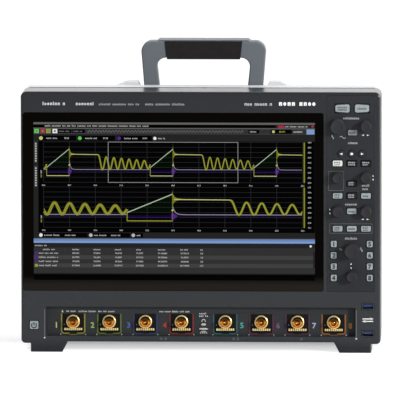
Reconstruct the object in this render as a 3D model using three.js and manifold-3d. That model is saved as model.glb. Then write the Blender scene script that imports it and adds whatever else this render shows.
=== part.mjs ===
// An eight-channel bench oscilloscope: a wide, shallow case with a large touch display, a keypad with
// push keys and rotary knobs, eight coaxial inputs in a recessed panel, a folding carrying handle on
// top and two tilt legs under the front feet.
//
// Units are millimetres. +X is to the right of someone facing the front, +Y runs from the front to the
// back, and +Z is up. The origin is on the bench, under the middle of the object's bounding box.
import * as THREE from "three";
import { mergeVertices } from "three/addons/utils/BufferGeometryUtils.js";
import Module from "manifold-3d";

const wasm = await Module();
wasm.setup();

// ---------------------------------------------------------------- driving dimensions
const CASE_WIDTH = 440;
const CASE_TOP = 320.6;
const CASE_DEPTH = 165; // front face to the flat of the back wall
const BUMPER_REACH = 5; // corner bumpers stand proud of the back wall
const LARGE_KNOB_REACH = 15; // knob face in front of the front panel
const FRONT_Y = -(CASE_DEPTH + BUMPER_REACH - LARGE_KNOB_REACH) / 2;

const WALL = 3;
const GAP = 0.3; // clearance between pieces that touch or slide
const HALF = CASE_WIDTH / 2;
const FLOOR = 13; // underside of the case above the bench
const CORNER_FLOOR = 11; // the front corners hang a little lower
const CORNER_RADIUS = 7;

const BEZEL_DEPTH = 55;
const FACE = 4; // thickness of the bezel's front face
const EDGE = 2; // rounding of the bezel's front edge
const FOOT = { inner: 169.8, outer: 208.5, slope: 163 };

// Display: a 15.6 inch 16:9 panel behind one sheet of touch glass.
const SCREEN = { x: -32.3, z: 186.5, width: 344.2, height: 193.6 };
const GLASS = { left: -217.3, right: 150.3, bottom: 75.9, top: 294.8, radius: 3, front: 0.2, back: 2 };
const LCD_FRAME = { width: 359, height: 206, front: FACE + 0.4, back: 11 };

// Keypad: three columns of keys and knobs, laid out round one centre line.
const KEYPAD = { left: 154.4, right: 213.4, bottom: 75.9, top: 316.4, radius: 2, front: 0.2, back: 2.6 };
const COLUMN = 17.3;
const MIDDLE = 184.8;
const KEY_PROUD = 1.6; // key face in front of the panel
const KEY_CORNER = 1.5;
const KEY_HOLE = { gap: 0.35, corner: 1 };
const FLANGE = 0.8; // the hidden lip that keeps a key captive
const KEY = { width: 12.7, height: 7.8 };
const BIG_KEY = { width: 18.4, height: 11.2 };
const SMALL_KEY = { width: 12.4, height: 7 };
const CHANNEL_KEY = { width: 8.2, height: 8.7 };
const ROUND_KEY = { width: 9, height: 9, round: true };
const POWER_KEY = { width: 11.4, height: 10.8 };

const KEYS = {
  key_run_stop: { x: 173.4, z: 300.8, ...BIG_KEY },
  key_single: { x: 197.3, z: 300.8, ...BIG_KEY },
  key_zoom: { x: MIDDLE + 1, z: 271.2, ...KEY },
  key_navigate_back: { x: MIDDLE - 12.6, z: 245.2, ...ROUND_KEY },
  key_navigate_stop: { x: MIDDLE, z: 245.2, ...ROUND_KEY },
  key_navigate_forward: { x: MIDDLE + 12.6, z: 245.2, ...ROUND_KEY },
  key_touch: { x: MIDDLE - COLUMN, z: 233.4, ...KEY },
  key_auto_scale: { x: MIDDLE, z: 233.4, ...KEY },
  key_default_setup: { x: MIDDLE + COLUMN, z: 233.4, ...KEY },
  key_quick_action: { x: MIDDLE, z: 208.7, ...SMALL_KEY },
  key_menu: { x: MIDDLE - COLUMN, z: 193.6, ...KEY },
  key_clear_display: { x: MIDDLE, z: 193.6, ...KEY },
  key_trigger: { x: MIDDLE + COLUMN, z: 193.6, ...KEY },
  key_marker: { x: MIDDLE, z: 174.6, ...KEY },
  key_math: { x: MIDDLE - COLUMN, z: 153.2, ...KEY },
  key_digital: { x: MIDDLE, z: 153.2, ...KEY },
  key_reference: { x: MIDDLE + COLUMN, z: 153.2, ...KEY },
};
const CHANNEL_KEY_TOP = 134.4;
const CHANNEL_KEY_PITCH = 13.9;
const CHANNEL_KEY_OFFSET = 22;
for (let channel = 1; channel <= 8; channel++) {
  const side = channel <= 4 ? -1 : 1;
  const row = (channel - 1) % 4;
  KEYS["key_channel_" + channel] = {
    x: MIDDLE + side * CHANNEL_KEY_OFFSET,
    z: CHANNEL_KEY_TOP - row * CHANNEL_KEY_PITCH,
    ...CHANNEL_KEY,
  };
}
const POWER = { x: -204.3, z: 33.4, ...POWER_KEY };

// Knobs: radius of the grip and how far the face stands in front of the panel.
const LARGE_KNOB = { radius: 9, reach: LARGE_KNOB_REACH };
const SMALL_KNOB = { radius: 6.6, reach: 12.5 };
const KNOBS = {
  knob_horizontal_scale: { x: MIDDLE - COLUMN, z: 278.9, ...LARGE_KNOB },
  knob_horizontal_position: { x: MIDDLE + COLUMN, z: 279.2, ...SMALL_KNOB },
  knob_entry: { x: MIDDLE - COLUMN, z: 216, ...SMALL_KNOB },
  knob_trigger_level: { x: MIDDLE + COLUMN, z: 216, ...SMALL_KNOB },
  knob_marker_vertical: { x: MIDDLE - COLUMN, z: 174.6, ...SMALL_KNOB },
  knob_marker_horizontal: { x: MIDDLE + COLUMN, z: 174.6, ...SMALL_KNOB },
  knob_vertical_scale: { x: MIDDLE, z: 126.3, ...LARGE_KNOB },
  knob_vertical_position: { x: MIDDLE, z: 94.4, ...SMALL_KNOB },
};
const SHAFT = { radius: 3, hole: 3.5, end: 7.6 };
const ENCODER = { size: 11, front: 4 };
const BOARD = { front: 8.2, back: 9.8 };

// Inputs: two groups of four coaxial sockets in a long recess.
const RECESS = { half: 189.6, bottom: 19.8, top: 56.1, radius: 2, depth: 10 };
const TRAY_WALL = 2.2;
const INPUT_PITCH = 44.3;
const FIRST_INPUT = -156.9;
const FIFTH_INPUT = 29.6;
const INPUT_Z = 37;
const SOCKET = { flange: 8.1, barrel: 4.85, bore: 3.6, pin: 1, hole: 6.6, front: -2.5, lug: 6 };

const USB = { x: 204.5, upper: 57.5, lower: 24, width: 14.6, height: 7.2, depth: 16, wall: 0.6 };

// Handle: a bail whose arms stand just behind the crest of the top and turn on side trunnions.
const CREST = 90; // depth at which the top starts to fall towards the back
const REAR_TOP = 309;
const PIVOT = { depth: 102.5, z: 314.5, radius: 4 };
const ARM = { inner: 52.8, outer: 71.9, lean: 4.6, innerLean: 4.3, depth: 22, rootRadius: 10.6 };
const BAIL = { top: 374.5, under: 354, outerRadius: 13, innerRadius: 11 };
const SPINE = { half: 58, back: 122, crown: 1.5 }; // the deep middle of the bail
const GRIP = { half: 47.5, taper: 2.6, front: 90.3, back: 123.5, top: 374.2, bottom: 352.2 };
const POCKET = { half: 78, floor: 291 };
const BOSS = { outer: 108, shoulder: 95, inner: 81, top: 324.2, front: 92, back: 113 };
const TRUNNION_REACH = 11.6;

// Tilt legs: flat flaps stowed in the undersides of the front feet.
const LEG = { inner: 174.2, outer: 204.2, hinge: 9, z: 4.6, length: 31, thick: 4.6, pin: 1.9 };
const LEG_POCKET = { front: 3.6, back: 45, top: 8.4 };

// Fan behind the back wall's grille.
const FAN = { x: 112, z: 190, size: 92, duct: 43, front: 134, back: 159 };
const ROTOR = { hub: 17, tip: 41, front: 137, back: 152, blades: 7 };

// ---------------------------------------------------------------- colours
const paint = (color, roughness, metalness = 0) =>
  new THREE.MeshStandardMaterial({ color, roughness, metalness });
const darkPlastic = paint(0x3e4145, 0.5);
const panelPlastic = paint(0x2b2e31, 0.55);
const lightPlastic = paint(0xc3c6c8, 0.5);
const handlePlastic = paint(0x666b70, 0.45);
const rubber = paint(0x262424, 0.85);
const lightKey = paint(0xa9b2b5, 0.5);
const whiteKey = paint(0xe2e3de, 0.45);
const darkKey = paint(0x232527, 0.5);
const knobPlastic = paint(0x2c2d30, 0.6);
const glass = paint(0x0a0a08, 0.08);
const displayMetal = paint(0x1b1c1e, 0.3);
const gold = paint(0xc79a3f, 0.25, 1);
const steel = paint(0xa9abad, 0.3, 1);
const boardGreen = paint(0x1d4a35, 0.5);
const fanPlastic = paint(0x17181a, 0.5);

// ---------------------------------------------------------------- shapes and solids
const solids = [];

/** A three.js geometry with closed walls as a manifold-3d solid. */
function solid(geometry) {
  const bare = geometry.index ? geometry.toNonIndexed() : geometry.clone();
  bare.deleteAttribute("normal");
  bare.deleteAttribute("uv");
  const merged = mergeVertices(bare, 1e-4);
  const vertProperties = merged.attributes.position.array;
  const triVerts = new Uint32Array(merged.index.array);
  return new wasm.Manifold(new wasm.Mesh({ numProp: 3, vertProperties, triVerts }));
}

/** Adds one named piece to the object. */
function piece(name, body, material) {
  const mesh = body.getMesh();
  const geometry = new THREE.BufferGeometry();
  geometry.setAttribute("position", new THREE.BufferAttribute(mesh.vertProperties, mesh.numProp));
  geometry.setIndex(new THREE.BufferAttribute(mesh.triVerts, 1));
  geometry.computeVertexNormals();
  const made = new THREE.Mesh(geometry, material);
  made.name = name;
  solids.push(made);
  return made;
}

/** Joins a list of solids into one. */
const join = (list) => list.reduce((sum, next) => sum.add(next));

/** Cuts each of a list of solids out of the first. */
const cut = (body, list) => list.reduce((rest, tool) => rest.subtract(tool), body);

/** A rounded rectangle in the plane of the front panel. */
function roundedRectangle(left, right, bottom, top, radius) {
  const shape = new THREE.Shape();
  shape.moveTo(left + radius, bottom);
  shape.lineTo(right - radius, bottom);
  shape.absarc(right - radius, bottom + radius, radius, -Math.PI / 2, 0);
  shape.lineTo(right, top - radius);
  shape.absarc(right - radius, top - radius, radius, 0, Math.PI / 2);
  shape.lineTo(left + radius, top);
  shape.absarc(left + radius, top - radius, radius, Math.PI / 2, Math.PI);
  shape.lineTo(left, bottom + radius);
  shape.absarc(left + radius, bottom + radius, radius, Math.PI, 1.5 * Math.PI);
  return shape;
}

/** A shape drawn in x and z, run from one depth behind the front face to another. */
function slab(shape, front, back, curveSegments = 3, bevel = null) {
  const reach = bevel ? bevel.size : 0;
  const geometry = new THREE.ExtrudeGeometry(shape, {
    depth: back - front - 2 * reach,
    curveSegments,
    bevelEnabled: Boolean(bevel),
    bevelSize: reach,
    bevelThickness: reach,
    bevelOffset: -reach,
    bevelSegments: bevel ? bevel.segments : 0,
  });
  geometry.rotateX(Math.PI / 2);
  geometry.translate(0, FRONT_Y + back - reach, 0);
  return solid(geometry);
}

/** A closed outline through the given points. */
function polygon(points) {
  const shape = new THREE.Shape();
  points.forEach(([u, v], i) => (i ? shape.lineTo(u, v) : shape.moveTo(u, v)));
  return shape;
}

/** A box between two corners, with y given as depth behind the front face. */
function block(left, right, front, back, bottom, top) {
  const geometry = new THREE.BoxGeometry(right - left, back - front, top - bottom);
  geometry.translate((left + right) / 2, FRONT_Y + (front + back) / 2, (bottom + top) / 2);
  return solid(geometry);
}

/** A round bar along the depth axis. */
function bar(x, z, radius, front, back, segments = 16) {
  const geometry = new THREE.CylinderGeometry(radius, radius, back - front, segments);
  geometry.translate(x, FRONT_Y + (front + back) / 2, z);
  return solid(geometry);
}

/** A round bar along x, centred at a depth and a height. */
function axle(depth, z, radius, left, right, segments = 20) {
  const geometry = new THREE.CylinderGeometry(radius, radius, right - left, segments);
  geometry.rotateZ(Math.PI / 2);
  geometry.translate((left + right) / 2, FRONT_Y + depth, z);
  return solid(geometry);
}

/** A turned piece about an axis along the depth: profile points are [radius, depth]. */
function turned(x, z, profile, segments) {
  const points = profile.map(([radius, depth]) => new THREE.Vector2(radius, depth));
  const geometry = new THREE.LatheGeometry(points, segments);
  geometry.translate(x, FRONT_Y, z);
  return solid(geometry);
}

/** The mirror image of a solid across the middle plane. */
function mirrored(body) {
  return body.mirror([1, 0, 0]);
}

// ---------------------------------------------------------------- front bezel
/** The outline of the bezel with its two front feet. */
function bezelOutline() {
  const shape = new THREE.Shape();
  const low = 5; // radius of the lower corners
  shape.moveTo(FOOT.slope, FLOOR);
  shape.lineTo(FOOT.inner, 0);
  shape.lineTo(FOOT.outer, 0);
  shape.lineTo(FOOT.outer, CORNER_FLOOR);
  shape.lineTo(HALF - low, CORNER_FLOOR);
  shape.absarc(HALF - low, CORNER_FLOOR + low, low, -Math.PI / 2, 0);
  shape.lineTo(HALF, CASE_TOP - CORNER_RADIUS);
  shape.absarc(HALF - CORNER_RADIUS, CASE_TOP - CORNER_RADIUS, CORNER_RADIUS, 0, Math.PI / 2);
  shape.lineTo(CORNER_RADIUS - HALF, CASE_TOP);
  shape.absarc(CORNER_RADIUS - HALF, CASE_TOP - CORNER_RADIUS, CORNER_RADIUS, Math.PI / 2, Math.PI);
  shape.lineTo(-HALF, CORNER_FLOOR + low);
  shape.absarc(low - HALF, CORNER_FLOOR + low, low, Math.PI, 1.5 * Math.PI);
  shape.lineTo(-FOOT.outer, CORNER_FLOOR);
  shape.lineTo(-FOOT.outer, 0);
  shape.lineTo(-FOOT.inner, 0);
  shape.lineTo(-FOOT.slope, FLOOR);
  return shape;
}

/** The pocket under one front foot that stows a tilt leg, with the bores for its trunnions. */
function legPocket() {
  const width = { left: LEG.inner - GAP, right: LEG.outer + GAP };
  const hollow = block(width.left, width.right, LEG_POCKET.front, LEG_POCKET.back, -1, LEG_POCKET.top);
  const bore = axle(LEG.hinge, LEG.z, LEG.pin + GAP, FOOT.inner + 1.5, FOOT.outer - 1.5, 14);
  return hollow.add(bore);
}

function frontBezel() {
  const trim = 5;
  const shell = slab(bezelOutline(), 0, BEZEL_DEPTH + trim, 5, { size: EDGE, segments: 2 });
  const inside = WALL + FLOOR;
  const glassSeat = roundedRectangle(
    GLASS.left - GAP,
    GLASS.right + GAP,
    GLASS.bottom - GAP,
    GLASS.top + GAP,
    GLASS.radius,
  );
  const keypadSeat = roundedRectangle(
    KEYPAD.left - GAP,
    KEYPAD.right + GAP,
    KEYPAD.bottom - GAP,
    KEYPAD.top + GAP,
    KEYPAD.radius,
  );
  const window = { x: SCREEN.width / 2 + 1, z: SCREEN.height / 2 + 1 };
  const ledge = 1;
  const recess = roundedRectangle(-RECESS.half, RECESS.half, RECESS.bottom, RECESS.top, RECESS.radius);
  const usbHole = (z) =>
    block(
      USB.x - USB.width / 2 - GAP,
      USB.x + USB.width / 2 + GAP,
      -1,
      FACE + 1,
      z - USB.height / 2 - GAP,
      z + USB.height / 2 + GAP,
    );
  const powerHole = keyShape(POWER, KEY_HOLE.gap, KEY_HOLE.corner);
  const pocket = legPocket();
  return cut(shell, [
    block(-HALF - 1, HALF + 1, BEZEL_DEPTH, BEZEL_DEPTH + trim + 1, -1, CASE_TOP + 1),
    block(WALL - HALF, HALF - WALL, FACE, BEZEL_DEPTH + 1, inside, CASE_TOP - WALL),
    slab(glassSeat, -1, GLASS.back + GAP, 3),
    block(SCREEN.x - window.x, SCREEN.x + window.x, 0, FACE + 1, SCREEN.z - window.z, SCREEN.z + window.z),
    slab(keypadSeat, -1, KEYPAD.back + GAP, 3),
    block(
      KEYPAD.left + ledge,
      KEYPAD.right - ledge,
      0,
      FACE + 1,
      KEYPAD.bottom + ledge,
      KEYPAD.top - ledge,
    ),
    slab(recess, -1, FACE + 1, 3),
    usbHole(USB.upper),
    usbHole(USB.lower),
    slab(powerHole, -1, FACE + 1, 1),
    pocket,
    mirrored(pocket),
  ]);
}

/** The outline of a key, grown by a margin on every side. */
function keyShape(key, margin = 0, corner = KEY_CORNER) {
  if (key.round) {
    return new THREE.Shape().absarc(key.x, key.z, key.width / 2 + margin, 0, 2 * Math.PI);
  }
  const half = { x: key.width / 2 + margin, z: key.height / 2 + margin };
  return roundedRectangle(key.x - half.x, key.x + half.x, key.z - half.z, key.z + half.z, corner);
}

/** A captive push key: a cap, a hidden lip behind the panel and a short plunger. */
function pushKey(key, panelBack) {
  const lip = { front: panelBack + 0.4, back: panelBack + 1.6 };
  const cap = slab(keyShape(key), -KEY_PROUD, lip.front + 0.1, key.round ? 8 : 2);
  const stem = block(
    key.x - 2,
    key.x + 2,
    lip.back - 0.1,
    lip.back + 1.8,
    key.z - 2,
    key.z + 2,
  );
  const half = { x: key.width / 2 + FLANGE, z: key.height / 2 + FLANGE };
  const flange = block(key.x - half.x, key.x + half.x, lip.front, lip.back, key.z - half.z, key.z + half.z);
  return join([cap, flange, stem]);
}

function keypadPanel() {
  const outline = roundedRectangle(KEYPAD.left, KEYPAD.right, KEYPAD.bottom, KEYPAD.top, KEYPAD.radius);
  const plate = slab(outline, KEYPAD.front, KEYPAD.back, 3);
  const keyHoles = Object.values(KEYS).map((key) =>
    slab(keyShape(key, KEY_HOLE.gap, KEY_HOLE.corner), -2, KEYPAD.back + 1, key.round ? 8 : 1),
  );
  const shaftHoles = Object.values(KNOBS).map((knob) =>
    bar(knob.x, knob.z, SHAFT.hole, -2, KEYPAD.back + 1, 12),
  );
  return cut(plate, [...keyHoles, ...shaftHoles]);
}

/** The circuit board behind the keypad, with an encoder body behind each knob. */
function keypadBoard() {
  const inset = 1.5;
  const plate = block(
    KEYPAD.left + inset,
    KEYPAD.right - inset,
    BOARD.front,
    BOARD.back,
    KEYPAD.bottom + inset,
    KEYPAD.top - inset,
  );
  const bodies = Object.values(KNOBS).map((knob) => {
    const half = ENCODER.size / 2;
    const { x, z } = knob;
    return block(x - half, x + half, ENCODER.front, BOARD.front + 0.1, z - half, z + half);
  });
  const bores = Object.values(KNOBS).map((knob) =>
    bar(knob.x, knob.z, SHAFT.radius + 0.25, ENCODER.front - 1, SHAFT.end + GAP, 12),
  );
  return cut(join([plate, ...bodies]), bores);
}

/** A knob with a skirt at the panel, a grip that narrows a little, and its shaft. */
function rotaryKnob(knob) {
  const { radius, reach } = knob;
  const profile = [
    [0, -reach],
    [radius - 1.2, -reach],
    [radius - 0.4, -reach + 0.8],
    [radius, -3],
    [radius + 1, -2.4],
    [radius + 1, -0.7],
    [SHAFT.radius, -0.7],
    [SHAFT.radius, SHAFT.end],
    [0, SHAFT.end],
  ];
  return turned(knob.x, knob.z, profile, 18);
}

// ---------------------------------------------------------------- display
function displayGlass() {
  const outline = roundedRectangle(GLASS.left, GLASS.right, GLASS.bottom, GLASS.top, GLASS.radius);
  return slab(outline, GLASS.front, GLASS.back, 4);
}

function lcdModule() {
  const half = { x: SCREEN.width / 2, z: SCREEN.height / 2 };
  const face = block(
    SCREEN.x - half.x,
    SCREEN.x + half.x,
    GLASS.back + GAP,
    LCD_FRAME.front + 0.1,
    SCREEN.z - half.z,
    SCREEN.z + half.z,
  );
  const frame = block(
    SCREEN.x - LCD_FRAME.width / 2,
    SCREEN.x + LCD_FRAME.width / 2,
    LCD_FRAME.front,
    LCD_FRAME.back,
    SCREEN.z - LCD_FRAME.height / 2,
    SCREEN.z + LCD_FRAME.height / 2,
  );
  return face.add(frame);
}

// ---------------------------------------------------------------- inputs
const inputX = (channel) =>
  channel <= 4
    ? FIRST_INPUT + (channel - 1) * INPUT_PITCH
    : FIFTH_INPUT + (channel - 5) * INPUT_PITCH;

/** The shallow tray behind the long opening, which carries the coaxial sockets. */
function inputPanel() {
  const front = FACE + GAP;
  const back = RECESS.depth + 2;
  const outer = block(
    -RECESS.half - TRAY_WALL,
    RECESS.half + TRAY_WALL,
    front,
    back,
    RECESS.bottom - TRAY_WALL,
    RECESS.top + TRAY_WALL,
  );
  const hollow = roundedRectangle(-RECESS.half, RECESS.half, RECESS.bottom, RECESS.top, RECESS.radius);
  const holes = [];
  for (let channel = 1; channel <= 8; channel++) {
    holes.push(bar(inputX(channel), INPUT_Z, SOCKET.hole, RECESS.depth - 1, back + 1, 16));
  }
  return cut(outer, [slab(hollow, front - 1, RECESS.depth, 3), ...holes]);
}

/** A bulkhead coaxial socket with a round collar, two bayonet lugs and a centre contact. */
function inputConnector(x) {
  const collar = { front: RECESS.depth - 2.2, back: RECESS.depth - GAP };
  const profile = [
    [0, 0.5],
    [SOCKET.pin, 0.8],
    [SOCKET.pin, collar.front - 1],
    [SOCKET.bore, collar.front - 1],
    [SOCKET.bore, SOCKET.front],
    [SOCKET.barrel, SOCKET.front],
    [SOCKET.barrel, collar.front],
    [SOCKET.flange, collar.front],
    [SOCKET.flange, collar.back],
    [SOCKET.hole - GAP, collar.back],
    [SOCKET.hole - GAP, RECESS.depth + 10],
    [0, RECESS.depth + 10],
  ];
  const lugs = axle(-0.4, INPUT_Z, 1, x - SOCKET.lug, x + SOCKET.lug, 6);
  const clear = bar(x, INPUT_Z, SOCKET.bore + 0.3, SOCKET.front - 1, 3, 12);
  return turned(x, INPUT_Z, profile, 14).add(lugs.subtract(clear));
}

/** A USB socket: a steel sleeve with a tongue inside. */
function usbPort(z) {
  const half = { x: USB.width / 2, z: USB.height / 2 };
  const front = -0.3;
  const sleeve = block(USB.x - half.x, USB.x + half.x, front, USB.depth, z - half.z, z + half.z);
  const inner = { x: half.x - USB.wall, z: half.z - USB.wall };
  const left = USB.x - inner.x;
  const right = USB.x + inner.x;
  const hollow = block(left, right, front - 1, USB.depth - 3, z - inner.z, z + inner.z);
  const tongue = block(USB.x - 5.6, USB.x + 5.6, 1.5, USB.depth - 2, z + 0.1, z + 2);
  return sleeve.subtract(hollow).add(tongue);
}

// ---------------------------------------------------------------- rear housing
const HOUSING_FRONT = BEZEL_DEPTH + GAP;
const HOUSING_INSET = 1; // the housing is a little smaller than the bezel all round
const TAPER = 9; // how far each side draws in towards the back
const REAR_IO = { left: -70, right: 184, bottom: 26, top: 64 };
const INLET = { left: -170, right: -122, bottom: 28, top: 60 };
const BUMPER = { inner: 176, outer: 204, height: 28, low: 30, high: 262, radius: 6 };
const REAR_FOOT = { inner: 160, outer: 200, front: 128, back: 152 };

/** A rounded block that runs straight back to the crest, then draws in and falls towards the back wall. */
function taperedBlock(inset, front, back, bottom, top, radius) {
  const side = HALF - HOUSING_INSET - inset;
  const outline = roundedRectangle(-side, side, bottom, top, radius);
  const straight = slab(outline, front, CREST, 5);
  const rear = new THREE.ExtrudeGeometry(outline, {
    depth: back - CREST,
    curveSegments: 5,
    bevelEnabled: false,
  });
  rear.rotateX(Math.PI / 2);
  rear.translate(0, FRONT_Y + back, 0);
  const narrowing = 1 - TAPER / side;
  const lowering = 1 - (CASE_TOP - REAR_TOP) / (top - bottom);
  const points = rear.getAttribute("position");
  for (let i = 0; i < points.count; i++) {
    if (points.getY(i) > FRONT_Y + CREST + 1) {
      points.setX(i, points.getX(i) * narrowing);
      points.setZ(i, bottom + (points.getZ(i) - bottom) * lowering);
    }
  }
  return straight.add(solid(rear));
}

/** The hollow behind the crest that takes the folded handle, grown by a margin. */
function handlePocket(margin) {
  return block(
    -POCKET.half - margin,
    POCKET.half + margin,
    CREST - margin,
    CASE_DEPTH + BUMPER_REACH,
    POCKET.floor - margin,
    CASE_TOP + 20,
  );
}

/** The raised bearing block beside the right arm of the handle. */
function handleBoss() {
  const outline = polygon([
    [POCKET.half, POCKET.floor],
    [BOSS.outer + 4, POCKET.floor],
    [BOSS.outer, CASE_TOP - 2],
    [BOSS.shoulder, BOSS.top],
    [BOSS.inner, BOSS.top],
    [POCKET.half, CASE_TOP - 2],
  ]);
  return slab(outline, BOSS.front, BOSS.back);
}

/** Upright slots through the back wall. */
function backSlots(left, right, bottom, top, pitch, width) {
  const slots = [];
  for (let x = left; x <= right; x += pitch) {
    slots.push(block(x - width / 2, x + width / 2, CASE_DEPTH - 6, CASE_DEPTH + 2, bottom, top));
  }
  return slots;
}

/** Upright slots through both side walls. */
function sideSlots(front, back, bottom, top, pitch, width) {
  const slots = [];
  for (let depth = front; depth <= back; depth += pitch) {
    slots.push(block(-HALF - 2, HALF + 2, depth - width / 2, depth + width / 2, bottom, top));
  }
  return slots;
}

/** One rubber-tipped corner bumper on the right of the back wall. */
function bumper(bottom) {
  const outline = roundedRectangle(
    BUMPER.inner,
    BUMPER.outer,
    bottom,
    bottom + BUMPER.height,
    BUMPER.radius,
  );
  return slab(outline, CASE_DEPTH - 2, CASE_DEPTH + BUMPER_REACH, 3);
}

function rearHousing() {
  const outer = taperedBlock(0, HOUSING_FRONT, CASE_DEPTH, FLOOR, CASE_TOP, 9);
  const inner = taperedBlock(WALL, HOUSING_FRONT - 1, CASE_DEPTH - WALL, FLOOR + WALL, CASE_TOP - WALL, 6);
  const shell = cut(outer, [handlePocket(0), inner.subtract(handlePocket(WALL))]);
  const { inner: footInner, outer: footOuter, front, back } = REAR_FOOT;
  const foot = block(footInner, footOuter, front, back, 0, FLOOR + 1);
  const raised = [handleBoss(), foot, bumper(BUMPER.low), bumper(BUMPER.high)];
  const reach = ARM.outer + TRUNNION_REACH + 1;
  const wallCut = { front: CASE_DEPTH - 8, back: CASE_DEPTH + 2 };
  const fanHalf = FAN.size / 2 - 8;
  return cut(join([shell, ...raised, ...raised.map(mirrored)]), [
    axle(PIVOT.depth, PIVOT.z, PIVOT.radius + GAP, -reach, reach),
    block(REAR_IO.left, REAR_IO.right, wallCut.front, wallCut.back, REAR_IO.bottom, REAR_IO.top),
    block(INLET.left, INLET.right, wallCut.front, wallCut.back, INLET.bottom, INLET.top),
    ...backSlots(FAN.x - fanHalf, FAN.x + fanHalf, FAN.z - fanHalf, FAN.z + fanHalf, 7, 3.6),
    ...backSlots(-160, -40, 120, 210, 12, 4),
    ...sideSlots(104, 144, 90, 250, 10, 4),
  ]);
}

// ---------------------------------------------------------------- handle
/** The bail's outline seen from the front: two arms that lean outwards, joined by rounded shoulders. */
function bailOutline() {
  const root = PIVOT.z - ARM.rootRadius;
  const inner = ARM.inner + ARM.innerLean;
  const outer = ARM.outer + ARM.lean;
  const { top, under, outerRadius, innerRadius } = BAIL;
  const shape = new THREE.Shape();
  shape.moveTo(ARM.inner, root);
  shape.lineTo(ARM.outer, root);
  shape.lineTo(outer, top - outerRadius);
  shape.absarc(outer - outerRadius, top - outerRadius, outerRadius, 0, Math.PI / 2);
  shape.lineTo(outerRadius - outer, top);
  shape.absarc(outerRadius - outer, top - outerRadius, outerRadius, Math.PI / 2, Math.PI);
  shape.lineTo(-ARM.outer, root);
  shape.lineTo(-ARM.inner, root);
  shape.lineTo(-inner, under - innerRadius);
  shape.absarc(innerRadius - inner, under - innerRadius, innerRadius, Math.PI, Math.PI / 2, true);
  shape.lineTo(inner - innerRadius, under);
  shape.absarc(inner - innerRadius, under - innerRadius, innerRadius, Math.PI / 2, 0, true);
  return shape;
}

/** What is taken off the roots of the arms so that they turn inside the pocket. */
function rootTrim() {
  const reach = ARM.depth / 2 + 2;
  const low = PIVOT.z - ARM.rootRadius - 2;
  const square = block(-HALF / 2, HALF / 2, PIVOT.depth - reach, PIVOT.depth + reach, low, PIVOT.z);
  return square.subtract(axle(PIVOT.depth, PIVOT.z, ARM.rootRadius, -HALF / 2 - 1, HALF / 2 + 1, 28));
}

/** The grip's outline: a bar with slanted ends that narrows downwards, grown by a margin. */
function gripBody(margin) {
  const half = GRIP.half + margin;
  const outline = polygon([
    [-half, GRIP.top + margin],
    [GRIP.taper - half, GRIP.bottom - margin],
    [half - GRIP.taper, GRIP.bottom - margin],
    [half, GRIP.top + margin],
  ]);
  return slab(outline, GRIP.front - margin, GRIP.back + margin);
}

/** The bar of the frame that the grip wraps, grown by a margin. */
function gripCore(margin) {
  const inset = 6 - margin;
  return block(
    -HALF / 2,
    HALF / 2,
    GRIP.front + inset,
    GRIP.back - inset,
    GRIP.bottom + inset,
    GRIP.top + GAP + 1,
  );
}

/** The bail with its trunnions; the seat of the rubber grip is cut from its middle. */
function handleFrame() {
  const front = PIVOT.depth - ARM.depth / 2;
  const back = PIVOT.depth + ARM.depth / 2;
  const bail = slab(bailOutline(), front, back, 5, { size: 1.5, segments: 1 });
  const crown = BAIL.top + SPINE.crown;
  const spine = slab(
    polygon([
      [-SPINE.half, BAIL.top - 1],
      [-SPINE.half, BAIL.under + 2],
      [SPINE.half, BAIL.under + 2],
      [SPINE.half, BAIL.top - 1],
      [SPINE.half - 3, crown],
      [3 - SPINE.half, crown],
    ]),
    front + 1,
    SPINE.back,
  );
  const seat = gripBody(GAP).subtract(gripCore(0));
  const reach = ARM.outer + TRUNNION_REACH;
  const bars = axle(PIVOT.depth, PIVOT.z, PIVOT.radius, -reach, reach);
  const between = block(-ARM.inner - 2, ARM.inner + 2, front - 5, back + 5, PIVOT.z - 20, PIVOT.z + 20);
  return cut(bail.add(spine), [seat, rootTrim()]).add(bars.subtract(between));
}

/** The rubber channel that covers the front, the back and the underside of the bar. */
function handleGrip() {
  return gripBody(0).subtract(gripCore(GAP));
}

// ---------------------------------------------------------------- tilt legs
/** A flap with a round hinge barrel at its front and short trunnions, drawn for the right foot. */
function tiltLeg() {
  const half = LEG.thick / 2;
  const barrel = axle(LEG.hinge, LEG.z, half + 0.4, LEG.inner, LEG.outer, 16);
  const flap = block(LEG.inner, LEG.outer, LEG.hinge, LEG.hinge + LEG.length, LEG.z - half, LEG.z + half);
  const finger = axle(LEG.hinge + LEG.length, LEG.z + 4, 5.2, LEG.inner + 10, LEG.outer - 10, 16);
  const pins = axle(LEG.hinge, LEG.z, LEG.pin, LEG.inner - 2, LEG.outer + 2, 14);
  return join([barrel, flap, pins]).subtract(finger);
}

// ---------------------------------------------------------------- inside
/** The acquisition board: a circuit board with screening cans and a finned heat sink. */
function acquisitionBoard() {
  const board = block(-196, 196, 26, 28, 70, 296);
  const cans = [-150, -100, -50, 0, 50, 100, 150].map((x) => block(x - 20, x + 20, 27.9, 36, 78, 118));
  const base = block(-70, 70, 27.9, 34, 140, 250);
  const fins = [];
  for (let x = -66; x <= 66; x += 12) {
    fins.push(block(x - 1, x + 1, 33.9, 48, 140, 250));
  }
  return join([board, ...cans, base, ...fins]);
}

function powerSupply() {
  const box = block(-196, -76, 62, 150, 70, 104);
  const lid = block(-190, -82, 66, 146, 103.9, 106);
  return box.add(lid);
}

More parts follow.
